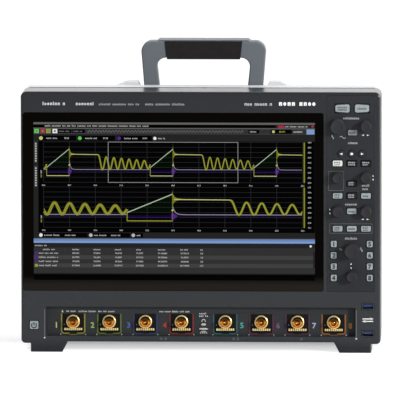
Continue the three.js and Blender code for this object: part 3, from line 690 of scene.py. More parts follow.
# The material of each captioned key, and its lines of printing.
PLAIN_KEYS = {
    "key_run_stop": (LIGHT_KEY, 2),
    "key_single": (LIGHT_KEY, 1),
    "key_zoom": (DIM_KEY, 1),
    "key_touch": (WHITE_KEY, 2),
    "key_auto_scale": (DARK_KEY, 2),
    "key_default_setup": (DARK_KEY, 2),
    "key_quick_action": (DARK_KEY, 2),
    "key_menu": (LIGHT_KEY, 2),
    "key_clear_display": (DARK_KEY, 2),
    "key_trigger": (LIGHT_KEY, 1),
    "key_marker": (LIGHT_KEY, 1),
    "key_math": (LIGHT_KEY, 2),
    "key_digital": (LIGHT_KEY, 1),
    "key_reference": (LIGHT_KEY, 2),
}
SLANTED_KEYS = {"key_run_stop": -0.18, "key_single": 0.18}
NAVIGATION_KEYS = {"key_navigate_back": 180, "key_navigate_stop": None, "key_navigate_forward": 0}
KEY_SLOTS = {"white_key": "white_key", "dark_key": "dark_key"}

for node, (material, lines) in PLAIN_KEYS.items():
    slant = SLANTED_KEYS.get(node, 0)
    cap = key_cap(node, material, 2.4 if slant else 1.5, slant)
    key_caption(cap, node, lines, CAPTION_INK if material is DARK_KEY else KEY_INK)
    cap.stand_for(node, KEY_SLOTS.get(material.name, "light_key"))

for channel in range(1, 9):
    node = "key_channel_%d" % channel
    cap = key_cap(node, LIGHT_KEY)
    cap.numerals(channel, *centre(node), 5.9, *key_face(node), KEY_INK, 0.05)
    cap.stand_for(node, "light_key")

for node, turn in NAVIGATION_KEYS.items():
    cap = key_cap(node, PANEL, span(node)[0] / 2, gap=0.1)
    x, z = centre(node)
    mark = rounded(x, z, 3.2, 2.6, 0.7) if turn is None else arrow(x, z, 2.0, turn, 0.85)
    cap.plate(mark, *key_face(node), WHITE_INK)
    cap.stand_for(node, "dark_key")

cap = key_cap("key_power", LIGHT_KEY)
power_mark(cap, "key_power")
cap.stand_for("key_power", "light_key")


# ---------------------------------------------------------------- knobs
def knob(node):
    """A soft-touch knob: smooth skirt, fluted grip and a dished face."""
    x, z = centre(node)
    skirt = span(node)[0] / 2
    radius = skirt - 1
    nearest, farthest = depth_of(node)
    profile = [
        (radius * 0.35, nearest + 0.5),
        (radius - 2.2, nearest + 0.42),
        (radius - 1.3, nearest),
        (radius - 0.75, nearest + 0.12),
        (radius - 0.35, nearest + 0.6),
        (radius - 0.25, nearest + 1.2),
        (radius + 0.15, -3.6),
        (radius + 0.1, -3.1),
        (skirt - 0.35, -2.7),
        (skirt, -2.3),
        (skirt, -0.9),
        (skirt - 0.3, -0.7),
        (3, -0.7),
        (3, farthest),
    ]
    ribs = 36 if radius > 8 else 28  # more on the two large knobs
    made = Piece()
    made.lathe(x, z, profile, ribs * 4, KNOB, ribs, rib_depth=0.35, ribbed=(5, 6))
    made.stand_for(node, "knob_plastic", 50)


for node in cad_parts:
    if node.startswith("knob_"):
        knob(node)


# ---------------------------------------------------------------- printing
ON_BEZEL = (-PRINT, SUNK)
ON_KEYPAD = (KEYPAD_FRONT - PRINT, KEYPAD_FRONT + SUNK)


def arrow_pair(marks, x, z, reach, turn):
    """Two small arrows that point away from each other."""
    size, slim = (1.35, 0.85) if turn else (1.75, 0.6)
    for way in (0, 180):
        a = math.radians(turn + way)
        outline = arrow(x + reach * math.cos(a), z + reach * math.sin(a), size, turn + way, slim)
        marks.plate(outline, *ON_KEYPAD, WHITE_INK)


def panel_line(marks, x0, x1, z0, z1):
    """The printed outline of a group of controls."""
    x, z, width, height = (x0 + x1) / 2, (z0 + z1) / 2, x1 - x0, z1 - z0
    outer = rounded(x, z, width, height, 1.2, 2)
    inner = rounded(x, z, width - 0.9, height - 0.9, 0.8, 2)
    front, back = ON_KEYPAD
    marks.hoop([(outer, front), (inner, front), (inner, back), (outer, back)], LINE_INK)


def wave_sign(marks, x, z, width, height):
    """One turn of a sine wave."""
    steps = 12
    wave = []
    for step in range(steps + 1):
        t = step / steps
        wave.append((x + (t - 0.5) * width, z + math.sin(t * 2 * math.pi) * height / 2))
    marks.ribbon(wave, 0.6, *ON_KEYPAD, CAPTION_INK)


def keypad_printing():
    """Captions, arrows, signs and group outlines on the keypad, and the lit edge of its hollow."""
    marks = Piece()
    middle, low_scale_z = centre("knob_vertical_scale")
    left, entry_z = centre("knob_entry")
    right, trigger_z = centre("knob_trigger_level")
    scale_z = centre("knob_horizontal_scale")[1]
    keys_z = centre("key_digital")[1]
    # The middle, row, width and height of each caption.
    for x, z, width, height in (
        (middle, 288.8, 21, 3.0),
        (middle + 1.3, 258.4, 11.5, 2.8),
        (right, 206.2, 10, 2.8),
        (right, 202.0, 8.5, 2.8),
        (middle, 183.2, 16.5, 3.0),
        (middle, 141.2, 16.5, 3.0),
    ):
        caption(marks, x - width / 2, x + width / 2, z, height, KEYPAD_FRONT, CAPTION_INK, 0.22, (12, 12))
    arrow_pair(marks, right - 0.6, centre("knob_horizontal_position")[1] - 11.2, 3.0, 0)
    arrow_pair(marks, right - 0.9, centre("knob_marker_horizontal")[1] - 9.9, 3.0, 0)
    arrow_pair(marks, right + 8.8, trigger_z - 0.2, 2.4, 90)
    arrow_pair(marks, left - 9.5, centre("knob_marker_vertical")[1] - 0.3, 2.4, 90)
    arrow_pair(marks, middle - 0.8, 107.2, 2.6, 90)
    wave_sign(marks, left - 6.0, scale_z - 13.2, 2.6, 4.6)
    wave_sign(marks, left + 6.2, scale_z - 13.6, 7, 2.8)
    wave_sign(marks, middle + 11.9, low_scale_z + 1.1, 2.4, 5.2)
    wave_sign(marks, middle - 13.4, low_scale_z + 1.4, 3.0, 2.2)
    panel_line(marks, left - 11.4, left + 7.6, entry_z - 16.2, entry_z + 8)
    panel_line(marks, left - 9.8, right + 7.8, keys_z - 5.9, keys_z + 6.2)
    low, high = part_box("keypad_panel")
    edge = high.x / MM + 0.1
    hollow_edge = box_outline(edge - 0.4, edge + 0.3, low.z / MM, high.z / MM)
    marks.plate(hollow_edge, KEYPAD_FRONT - 0.4, KEYPAD_FRONT + SUNK, TRAY)
    marks.build("keypad_printing", CASE)


def bezel_printing():
    """Word-like marks along the top of the bezel, small signs under the inputs, and painted glints and
    highlights at the lower corners and side edges of the input hollow.
    """
    marks = Piece()
    base_line = 303.9
    # The ends, height and stroke weight of each mark, from left to right.
    for left, right, height, weight, ink in (
        (-193.0, -162.5, 4.2, 0.24, INK),
        (-152.3, -127.9, 4.0, 0.24, INK),
        (-124.2, -73.7, 3.0, 0.2, DIM_INK),
        (-67.6, -18.7, 3.2, 0.2, DIM_INK),
        (54.0, 88.6, 4.0, 0.18, INK),
        (96.0, 144.9, 6.0, 0.26, WHITE_INK),
    ):
        caption(marks, left, right, base_line + height / 2, height, 0, ink, weight)
    for x in (-48.5, -42.9, 40.2, 45.6, 123.3):
        sign = [(rounded(x, 17, width, width * 1.3, width / 3, 2), depth)
                for width, depth in ((2.2, -PRINT), (1.0, -PRINT), (1.0, SUNK), (2.2, SUNK))]
        marks.hoop(sign, LINE_INK)
    # Painted glints at the lower corners of the input hollow, and painted highlights up its side edges.
    for x in (-191.4, 190.4):
        marks.plate(disc(x, 17.8, 1.0, 16), *ON_BEZEL, INK)
        marks.plate(box_outline(x - 0.45, x + 0.45, 19, 53), *ON_BEZEL, LINE_INK)
    marks.build("bezel_printing", CASE)


def case_seam():
    """The dark joint between the bezel and the rear housing, over the top and down both sides."""
    joint = depth_of("front_bezel")[1]
    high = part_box("front_bezel")[1]
    top, side, corner = high.z / MM, high.x / MM, 8
    seam = Piece()
    over_top = box_outline(corner - side, side - corner, top - 0.4, top + 0.3)
    seam.plate(over_top, joint - 1.0, joint + 1.0, TRAY)
    for way in (-1, 1):
        edge = sorted((way * (side - 0.3), way * (side + 0.15)))
        seam.plate(box_outline(*edge, 24, top - corner), joint - 0.6, joint + 0.6, TRAY)
    seam.build("case_seam", CASE)


keypad_printing()
bezel_printing()
case_seam()


# ---------------------------------------------------------------- inputs
RECESS_FLOOR = depth_of("input_panel")[1] - 2
FRAME_WIDTH, FRAME_LINE, FRAME_CHAMFER = 30.0, 1.6, 2.4
FRAME_BELOW, FRAME_ABOVE = 15.6, 9.4  # how far a frame reaches from its socket's middle
STRIP_WIDTH, STRIP_PADS = 22.6, 9
BARREL_BACK = 8.3


def input_surround(channel):
    """An input's coloured frame, contact strip and numeral."""
    x, z = centre("input_connector_%d" % channel)
    ink = FRAME_INKS[channel]
    floor = RECESS_FLOOR
    low, high = z - FRAME_BELOW, z + FRAME_ABOVE
    half, inside = (FRAME_WIDTH - FRAME_LINE) / 2, FRAME_WIDTH / 2 - FRAME_LINE
    surround = Piece()
    surround.plate(box_outline(x - inside, x + inside, low + 1.2, high), floor - 0.3, floor + 0.1, BLACK)
    for side in (-1, 1):
        path = [
            (x + side * half, high),
            (x + side * half, low + FRAME_CHAMFER),
            (x + side * (half - FRAME_CHAMFER), low + FRAME_LINE / 2),
            (x + side * 4.6, low + FRAME_LINE / 2),
        ]
        surround.ribbon(path, FRAME_LINE, floor - 0.5, floor + 0.1, ink)
        surround.plate(disc(x + side * 15.2, low - 0.4, 0.65, 12), floor - 0.6, floor + 0.1, INK)
    surround.ribbon([(x - 5, low - 0.9), (x + 5, low - 0.9)], 0.7, floor - 0.5, floor + 0.1, ink)
    pitch = STRIP_WIDTH / STRIP_PADS
    for pad in range(STRIP_PADS):
        middle = x + (pad - (STRIP_PADS - 1) / 2) * pitch
        pad_outline = box_outline(middle - pitch * 0.36, middle + pitch * 0.36, z - 11.0, z - 8.3)
        surround.plate(pad_outline, floor - 0.55, floor - 0.25, PALE_GOLD)
    digit_x = x - 20.6 if channel <= 4 else x + 20.4
    surround.numerals(channel, digit_x, z - 4.6, 7.0, floor - 0.12, floor + 0.05, NUMERAL_INKS[channel], 0.02)
    surround.plate(disc(x - 10.9, z - 3.9, 0.9, 12), floor - 0.4, floor + 0.1, LINE_INK)
    surround.build("input_surround_%d" % channel, CASE)


def bayonet_lug(socket, x, z, side):
    """A short pin that stands out sideways from a socket's barrel."""
    rings = []
    for reach, radius in ((4.7, 1.0), (6.0, 0.9)):
        out = (x + side * reach) * MM
        circle = disc(0, 0, radius, 10)
        rings.append([socket.mesh.verts.new((out, FRONT + (a - 0.4) * MM, (z + b) * MM)) for a, b in circle])
    socket.skin(rings, GOLD)


def input_socket(channel):
    """A coaxial socket: its outer ring, its bayonet barrel and its centre contact."""
    node = "input_connector_%d" % channel
    x, z = centre(node)
    nearest, farthest = depth_of(node)
    floor = RECESS_FLOOR
    socket = Piece()
    rim = [
        (6.5, 6.2),
        (6.7, 5.4),
        (7.3, 5.0),
        (8.0, 5.3),
        (8.3, 6.2),
        (8.3, floor - 0.3),
        (6.5, floor - 0.3),
    ]
    socket.turned_hoop(x, z, rim, 48, PALE_GOLD)
    socket.lathe(x, z, [(6.45, 8.2), (6.45, floor - 0.3)], 48, SOCKET_SHADE)
    barrel = [
        (3.75, nearest + 0.5),
        (4.0, nearest),
        (4.55, nearest),
        (4.85, nearest + 0.4),
        (4.85, 1.2),
        (4.6, 1.6),
        (4.6, 3.4),
        (4.85, 3.8),
        (4.85, BARREL_BACK),
        (3.75, BARREL_BACK),
    ]
    socket.turned_hoop(x, z, barrel, 48, AMBER)
    socket.lathe(x, z, [(2.6, 3.4), (3.1, 3.7), (3.7, 4.2), (3.7, BARREL_BACK)], 32, SOCKET_SHADE)
    socket.lathe(x, z, [(0.35, 0.2), (1.0, 0.7), (1.0, 3.6)], 20, GOLD)
    for side in (-1, 1):
        bayonet_lug(socket, x, z, side)
    socket.lathe(x, z, [(5.9, floor + 2), (5.9, farthest)], 6, GOLD)
    socket.build(node + "_socket", CASE, [node], "gold_plate", smooth_below=40)


for channel in range(1, 9):
    input_surround(channel)
    input_socket(channel)


def input_printing():
    """Word-like captions over the inputs."""
    marks = Piece()
    floor = RECESS_FLOOR
    row = centre("input_connector_1")[1] + 12.4
    marks.plate(arrow(-170, row - 0.2, 1.8, 90), floor - 0.1, floor + SUNK, INK)
    for left, right in ((-165, -152.5), (-150, -129), (-126, -104), (-51, -12)):
        caption(marks, left, right, row, 2.2, floor, INK)
    marks.build("input_printing", CASE)


def compensation_terminals():
    """The two probe terminals in the middle of the inputs, with their signs."""
    terminals = Piece()
    floor = RECESS_FLOOR
    x, z = 3.1, centre("input_connector_1")[1] - 1.2
    for row in (z + 11.2, z + 8.2):
        caption(terminals, x - 5.5, x + 6, row, 2.3, floor, INK, 0.24)
    # Three arch-shaped signs: one over the upper tab and two, one inside the other, under the lower tab.
    steps = 12
    for foot, rise, reach in ((z + 0.9, 3.2, 2.2), (z - 13.6, 3.0, 4.0), (z - 13.6, 2.0, 1.6)):
        turns = [math.pi * step / steps for step in range(steps + 1)]
        arch = [(x + reach * math.cos(turn), foot + rise * math.sin(turn)) for turn in turns]
        terminals.ribbon(arch, 0.8, floor - 0.1, floor + SUNK, INK)
    for height, reach, rise, stand in ((z - 2.1, 3.0, 1.35, 2.6), (z - 7.7, 5.8, 1.25, 1.4)):
        tab = [(px, height + (pz - height) * rise / reach) for px, pz in disc(x, height, reach)]
        inner = [(px, height + (pz - height) * 0.6) for px, pz in tab]
        terminals.loft([(inner, floor - stand - 0.3), (tab, floor - stand), (tab, floor + 0.1)], TERMINAL)
    terminals.build("compensation_terminals", CASE, smooth_below=40)


input_printing()
compensation_terminals()


# ---------------------------------------------------------------- USB sockets
def usb_inserts(node):
    """The blue tongue's face and the spring leaves inside a USB sleeve."""
    x, z = centre(node)
    insert = Piece()
    insert.plate(box_outline(x - 5.7, x + 5.7, z + 0.05, z + 2.1), 1.2, 12, USB_BLUE)
    width, height = (size - 0.1 for size in span(node))
    lip = depth_of(node)[0]
    for outer, inner, material in ((-0.9, 0, BLACK), (0, 0.55, STEEL)):
        rim = [(rounded(x, z, width - 2 * inset, height - 2 * inset, 0.6, 2), depth)
               for inset, depth in ((outer, -0.08), (inner, -0.08), (inner, lip + 0.3), (outer, lip + 0.3))]
        insert.hoop(rim, material)
    for pad in range(4):
        middle = x + (pad - 1.5) * 2.5
        insert.plate(box_outline(middle - 0.5, middle + 0.5, z - 0.1, z + 0.06), 1.8, 11, PALE_GOLD)
    insert.build(node + "_insert", CASE)


def data_mark():
    """A plain sign for data going both ways, printed between the two USB sockets."""
    x, upper = centre("usb_port_upper")
    middle = (upper + centre("usb_port_lower")[1]) / 2
    marks = Piece()
    for way in (1, -1):
        z = middle + way * 1.5
        marks.ribbon([(x - way * 6.5, z), (x + way * 4.5, z)], 1.1, *ON_BEZEL, WHITE_INK)
        marks.plate(arrow(x + way * 4.6, z, 2.5, 90 - way * 90, 0.8), *ON_BEZEL, WHITE_INK)
    marks.build("data_mark", CASE)


usb_inserts("usb_port_upper")
usb_inserts("usb_port_lower")
data_mark()


# ---------------------------------------------------------------- back wall
REAR_SOCKETS = ((-58, 16, 14), (-30, 15, 6), (-8, 15, 6), (18, 14, 16), (42, 14, 16))  # x, width, height
REAR_JACKS = (72, 98, 124, 150)
REAR_ROW = centre("rear_connector_plate")[1]
JACK_END = depth_of("rear_connector_plate")[1]
BACK_WALL = JACK_END - 4.5
SCREW_X, SCREW_ROWS = 186, (92, 236)
BUMPER_X, BUMPER_ROWS = 190, (44, 276)


def rear_socket(inserts, x, width, height):
    """The steel shell, opening, tongue and contacts of one data socket."""
    shell = [(rounded(x, REAR_ROW, width - inset, height - inset, 0.8, 2), BACK_WALL + depth)
             for inset, depth in ((0.2, -3), (0.2, 0.3), (1.6, 0.3))]
    inserts.loft(shell, STEEL)
    opening = rounded(x, REAR_ROW, width - 2.4, height - 2.4, 0.5, 2)
    inserts.plate(opening, BACK_WALL, BACK_WALL + 0.35, BLACK)
    wide, tall = (width - 5, 1.4) if height < 10 else (width - 7, 2.2)
    inserts.plate(rounded(x, REAR_ROW, wide, tall, 0.3, 1), BACK_WALL, BACK_WALL + 0.5, USB_BLUE)
    contacts = 6
    edge = REAR_ROW - tall / 2
    for k in range(contacts):
        at = x + (k - (contacts - 1) / 2) * (width - 7) / contacts
        inserts.plate(box_outline(at - 0.3, at + 0.3, edge - 0.5, edge), BACK_WALL, BACK_WALL + 0.55, GOLD)


def rear_jack(inserts, x):
    """The rim, bore, pin and nut of one coaxial jack."""
    rim = [(5.2, JACK_END - 2), (5.2, JACK_END), (3.9, JACK_END + 0.2), (3.9, JACK_END - 2)]
    pin = [(1.0, JACK_END - 1), (1.0, JACK_END + 0.2), (0.5, JACK_END + 0.4)]
    nut = [(8.2, JACK_END - 8.5), (8.2, JACK_END - 6.2), (7.6, JACK_END - 5.8)]
    inserts.turned_hoop(x, REAR_ROW, rim, 32, STEEL)
    inserts.lathe(x, REAR_ROW, [(3.9, JACK_END - 1), (3.9, JACK_END + 0.05)], 32, BLACK)
    inserts.lathe(x, REAR_ROW, pin, 16, GOLD)
    inserts.lathe(x, REAR_ROW, nut, 6, STEEL)


def rear_sockets():
    """What shows in the sockets of the rear connector plate."""
    inserts = Piece()
    for x, width, height in REAR_SOCKETS:
        rear_socket(inserts, x, width, height)
    for x in REAR_JACKS:
        rear_jack(inserts, x)
    inserts.build("rear_socket_inserts", CASE, smooth_below=40)


def mains_inlet():
    """The black frame of the mains inlet and its three flat pins."""
    middle, row, width, height = -146, 44, 44, 28
    outer = rounded(middle, row, width, height, 2.5)
    edge = rounded(middle, row, width - 1.4, height - 1.4, 2)
    hollow = rounded(middle, row, 28, 16, 2)
    run = ((outer, -4), (outer, 0.6), (edge, 1.0), (hollow, 1.0), (hollow, -4))
    inlet = Piece()
    inlet.hoop([(outline, BACK_WALL + depth) for outline, depth in run], BLACK)
    for x, z in ((middle - 7, row - 2), (middle, row + 2), (middle + 7, row - 2)):
        inlet.plate(rounded(x, z, 2, 5, 0.6, 2), BACK_WALL - 7.2, BACK_WALL - 1, STEEL)
    inlet.build("mains_inlet_frame", CASE, smooth_below=40)


def rear_fittings():
    """Cross-headed screws and bumper pads on the back wall."""
    fittings = Piece()
    for way in (-1, 1):
        for z in SCREW_ROWS:
            x = way * SCREW_X
            head = [(3.6, BACK_WALL - 1), (3.6, BACK_WALL + 0.5), (2.9, BACK_WALL + 1.1)]
            fittings.lathe(x, z, head, 24, STEEL)
            for wide, tall in ((3.4, 0.7), (0.7, 3.4)):
                slot = rounded(x, z, wide, tall, 0.2, 1)
                fittings.plate(slot, BACK_WALL + 0.9, BACK_WALL + 1.14, BLACK)
        for z in BUMPER_ROWS:
            pad = [(rounded(way * BUMPER_X, z, size, size, radius), BACK_WALL + depth)
                   for size, radius, depth in ((21, 4.5, 4.7), (21, 4.5, 5.5), (19.4, 3.7, 6.1))]
            fittings.loft(pad, GRIP)
    fittings.build("rear_fittings", CASE, smooth_below=40)


def rear_printing():
    """Word-like captions over the rear sockets, and a plain rating plate."""
    marks = Piece()
    front, back = BACK_WALL - SUNK, BACK_WALL + PRINT
    captions = [(x, width * 0.9) for x, width, _ in REAR_SOCKETS] + [(x, 14) for x in REAR_JACKS]
    for x, width in captions:
        marks.scribble(x - width / 2, x + width / 2, 69.5, 2.6, front, back, KEY_INK, 0.24, (8, 8))
    marks.scribble(-162, -130, 66, 2.6, front, back, KEY_INK, 0.24)
    marks.plate(rounded(20, 96, 96, 26, 2, 2), front, back, INK)
    for row, reach in enumerate((88, 70, 80, 52)):
        marks.scribble(-24, -24 + reach, 104 - row * 5.4, 2.4, back - 0.02, back + 0.05, KEY_INK, 0.2)
    marks.build("rear_printing", CASE)


rear_sockets()
mains_inlet()
rear_fittings()
rear_printing()


# ---------------------------------------------------------------- display graphics
S_BLACK = lit("screen_black", (0.0006, 0.0006, 0.0008))
S_DARK = lit("screen_dark_grey", (0.0185, 0.0185, 0.019))
S_GREY = lit("screen_grey", (0.033, 0.033, 0.0335))
S_MID = lit("screen_mid_grey", (0.055, 0.055, 0.056))
S_BAR = lit("screen_bar_grey", (0.13, 0.13, 0.132))
S_LINE = lit("screen_grid", (0.026, 0.027, 0.031))
S_BORDER = lit("screen_border", (0.34, 0.35, 0.35))
S_TEXT = lit("screen_text", (0.52, 0.53, 0.52))
S_DIM = lit("screen_dim_text", (0.2, 0.2, 0.2))
S_WHITE = lit("screen_white", (0.85, 0.88, 0.86))
S_OLIVE = lit("screen_olive", (0.19, 0.195, 0.018))
S_YELLOW = lit("screen_yellow", (0.33, 0.34, 0.035))
S_BRIGHT = lit("screen_bright_yellow", (0.6, 0.6, 0.22))
S_RAMP = lit("screen_ramp", (0.48, 0.62, 0.42))
S_GREEN = lit("screen_green", (0.12, 0.62, 0.10))
S_SHADE = lit("screen_green_shade", (0.0006, 0.0038, 0.0007))
S_RED = lit("screen_red", (0.42, 0.03, 0.06))
S_PURPLE = lit("screen_purple", (0.085, 0.025, 0.22))
S_DIM_PURPLE = lit("screen_dim_purple", (0.04, 0.013, 0.11))
S_HAZE = lit("screen_purple_haze", (0.007, 0.0016, 0.027))
S_LAVENDER = lit("screen_lavender", (0.33, 0.33, 0.36))
S_BLUE = lit("screen_blue", (0.148, 0.26, 0.56))
S_PALE_BLUE = lit("screen_pale_blue", (0.235, 0.355, 0.62))
S_EDGE_BLUE = lit("screen_edge_blue", (0.012, 0.022, 0.045))


# From the middle of the touch glass to the left and top edges of the display.
TO_LEFT, TO_TOP = 170.9, 97.95


class Screen:
    """Lit shapes on the display; u runs right and v runs down from its top left corner."""

    def __init__(self):
        glass_x, glass_z = centre("display_glass")
        self.left = glass_x - TO_LEFT
        self.top = glass_z + TO_TOP
        self.layers = {}

    def to_front(self, points):
        return [(self.left + u, self.top - v) for u, v in points]

    def layer(self, name):
        if name not in self.layers:
            self.layers[name] = Piece()
        return self.layers[name]

    def depths(self, level):
        """The faces of a lit shape: each level lies a little nearer to the viewer."""
        near = GLASS_FRONT - 0.06 - 0.04 * level
        return near, near + 0.05

    def shape(self, name, points, material, level=0):
        """A filled outline whose points run either way round."""
        self.layer(name).plate(self.to_front(points), *self.depths(level), material)

    def block(self, name, u0, u1, v0, v1, material, level=0):
        self.shape(name, [(u0, v1), (u1, v1), (u1, v0), (u0, v0)], material, level)

    def bar(self, name, v0, v1, material):
        """A block as wide as the display."""
        self.block(name, 0, LCD_WIDTH, v0, v1, material)

    def trace(self, name, points, width, material, level=0):
        self.layer(name).ribbon(self.to_front(points), width, *self.depths(level), material)

    def dot(self, name, u, v, radius, material, level=0):
        self.layer(name).plate(disc(self.left + u, self.top - v, radius, 20), *self.depths(level), material)

    def words(self, name, u0, u1, v, height=2.0, material=S_TEXT, level=1):
        """Word-like marks along a row."""
        left, right, z = self.left + u0, self.left + u1, self.top - v
        self.layer(name).scribble(left, right, z, height, *self.depths(level), material, 0.22)

    def number(self, name, u, v, digits, height=2.0, material=S_TEXT, level=1):
        """A random reading of so many digits, centred on (u, v)."""
        text = str(ART.randint(1, 9))
        while len(text) < digits + 1:
            text += "." if len(text) == min(2, digits - 1) else str(ART.randint(0, 9))
        place = (self.left + u, self.top - v)
        self.layer(name).numerals(text, *place, height, *self.depths(level), material, 0.02)

    def build(self):
        for name, piece in self.layers.items():
            piece.build("screen_" + name, CASE)


PLOT_LEFT, DIVISION, DIVISIONS = 12.2, 31.7, 10
PLOT_RIGHT = PLOT_LEFT + DIVISION * DIVISIONS
UPPER_TOP, LOWER_TOP = 24.5, 79.8
ROWS, ROW_HEIGHT = 8, 6.2
PLOT_HEIGHT = ROWS * ROW_HEIGHT


def grid(screen, top):
    """A plot's background and grid, with a reading at the end of each line."""
    bottom = top + PLOT_HEIGHT
    screen.block("plots", 5.8, 344, top - 1, bottom + 6.2, S_BLACK)
    for column in range(DIVISIONS + 1):
        u = PLOT_LEFT + column * DIVISION
        screen.block("grid", u - 0.25, u + 0.25, top, bottom, S_LINE, 1)
        screen.number("captions", u, bottom + 3.6, 3, 1.8)
    for row in range(ROWS + 1):
        v = top + row * ROW_HEIGHT
        screen.block("grid", PLOT_LEFT, PLOT_RIGHT, v - 0.22, v + 0.22, S_LINE, 1)
        screen.number("captions", 337.6, v, 3, 1.8)
    screen.block("scale", 330.3, 332.1, top, bottom, S_OLIVE, 1)
    screen.block("scale", 330.9, 331.5, top, bottom, S_YELLOW, 2)


# How far each level of the signal lies below a plot's top edge.
TIP, PEAK, HIGH, RAMP_FOOT, BASE, LOW = 5.6, 8.6, 15.1, 31.4, 33.8, 41.5


def spike(screen, name, u, top, stretch, width):
    """The break at the end of a ramp: a flare that closes on the level, and a purple burst below."""
    flare, steps = 6.2 * stretch, 8
    upper, lower = [], []
    for step in range(steps + 1):
        t = step / steps
        upper.append((u + flare * t, top + HIGH - 0.4 - 6.0 * math.exp(-t * 4.5)))
        lower.append((u + flare * t, top + HIGH + 0.4 + 7.0 * math.exp(-t * 4.5)))
    screen.shape(name, upper + lower[::-1], S_OLIVE, 2)
    screen.trace(name, upper, 0.5 * width, S_YELLOW, 3)
    screen.trace(name, [(u, top + TIP), (u + 0.1, top + LOW)], 0.6 * width, S_OLIVE, 2)
    screen.dot(name, u, top + BASE - 5.4, 0.9 * width, S_BRIGHT, 3)
    middle = top + BASE + 1.6
    for reach, tone, level in ((1.5, S_HAZE, 1.5), (0.95, S_PURPLE, 2)):
        left, right = u - 1.6 * reach, u + 3.6 * stretch * reach
        burst = [(left, middle - 2.2 * reach), (u, middle - 3.6 * reach), (right, middle)]
        burst += [(u + 1.0, middle + 4.2 * reach), (left, middle + 3.6 * reach)]
        screen.shape(name, burst, tone, level)


def ringing(start, top, pitch, cycles):
    """Points of a swing that starts at the high level and dies away."""
    points = []
    steps = round(cycles * 14)
    for step in range(steps + 1):
        t = step / steps * cycles
        middle = (HIGH + BASE) / 2 + 1.4 + 0.31 * t
        swing = (BASE - HIGH) * 0.45 - 0.55 * t
        drop = min(1, t / 0.22)
        v = middle - swing * math.cos(2 * math.pi * (max(t, 0.1) - 0.1))
        points.append((start + t * pitch, top + v * drop + (HIGH + 0.4) * (1 - drop)))
    return points


def plot(screen, name, top, stretch, event, width):
    """One view of the signal: a ramp and a spike, then a level, then a ringing that dies down."""
    period = 4 * DIVISION * stretch
    rise, level_end, pitch = 27.8 * stretch, 62.9 * stretch, 9.3 * stretch

    def draw(points, thickness, material, level):
        inside = [p for p in points if PLOT_LEFT <= p[0] <= PLOT_RIGHT]
        if len(inside) > 1:
            screen.trace(name, inside, thickness * width, material, level)
        return inside

    def run(u0, v0, u1, v1, steps=40):
        return [(u0 + (u1 - u0) * t / steps, top + v0 + (v1 - v0) * t / steps) for t in range(steps + 1)]

    start = event - period * math.ceil((event - PLOT_LEFT) / period)
    while start < PLOT_RIGHT:
        break_off, level = start + rise, start + level_end
        ramp = draw(run(start, RAMP_FOOT, break_off, PEAK), 0.8, S_RAMP, 3)
        if len(ramp) > 1:
            under = [(ramp[-1][0], top + RAMP_FOOT), (ramp[0][0], top + RAMP_FOOT)]
            screen.shape(name, ramp + under, S_SHADE, 0.5)
        draw(run(start, LOW, break_off, LOW), 0.8, S_BRIGHT if stretch < 1.5 else S_YELLOW, 3)
        if PLOT_LEFT < start < PLOT_RIGHT:
            step_up = [(start, top + LOW), (start + 0.2, top + RAMP_FOOT)]
            screen.trace(name, step_up, 0.7 * width, S_YELLOW, 3)
        if PLOT_LEFT < break_off < PLOT_RIGHT - 6:
            spike(screen, name, break_off, top, stretch, width)
        draw(run(break_off + 2, HIGH, level, HIGH + 0.4), 0.75, S_BRIGHT, 3)
        swing = ringing(level, top, pitch, (period - level_end) / pitch)
        # The trace steadies towards the right.
        jitter = 1 - 0.5 * max(0, level - PLOT_LEFT) / (PLOT_RIGHT - PLOT_LEFT)
        draw(swing, (1.4 + 0.7 * stretch) * jitter, S_OLIVE, 2)
        spread = 0.9 * (stretch - 1) * jitter
        for shift in (-spread, spread):
            draw([(u + shift, v) for u, v in swing], 1.0 - spread * 0.4, S_YELLOW, 2.5)
        settle = 1.3 * stretch
        slide = run(break_off, BASE, start + period, BASE, 90)
        slide = [(u, v - 11 * math.exp((break_off - u) / settle)) for u, v in slide]
        draw(slide, 0.6, S_LAVENDER, 2)
        draw(run(start, BASE + 3.6, break_off, BASE + 3.6), 0.4, S_DIM_PURPLE, 2)
        start += period
    screen.block(name, PLOT_LEFT, PLOT_RIGHT, top + BASE + 0.8, top + BASE + 3.4, S_HAZE, 0.5)
    for offset, material in ((1.2, S_TEXT), (6.2, S_YELLOW)):
        marker = [(8.8 + 1.2 * (k % 2), top + BASE + offset + k * 0.95) for k in range(5)]
        screen.trace("scale", marker, 0.55, material, 1)


def menu(screen):
    """The window's background, its title bar and its menu row."""
    screen.block("window", 0, LCD_WIDTH, 0.4, 187, S_DARK, -1)
    for v0, v1, tone in ((0.4, 2.9, S_BAR), (7.2, 8.2, S_BAR), (8.2, 13.8, S_GREY), (13.8, 14.8, S_MID)):
        screen.bar("bars", v0, v1, tone)
    screen.block("bars", 0, 296, 3.1, 6.6, S_BLACK)
    screen.words("menu", 14, 142, 4.7, 2.1)
    screen.words("menu", 308, 336, 5.0)
    screen.block("menu", 299, 307, 3.8, 6.8, S_RED, 1)
    screen.dot("menu", 341.4, 4.8, 1.5, S_RED, 1)


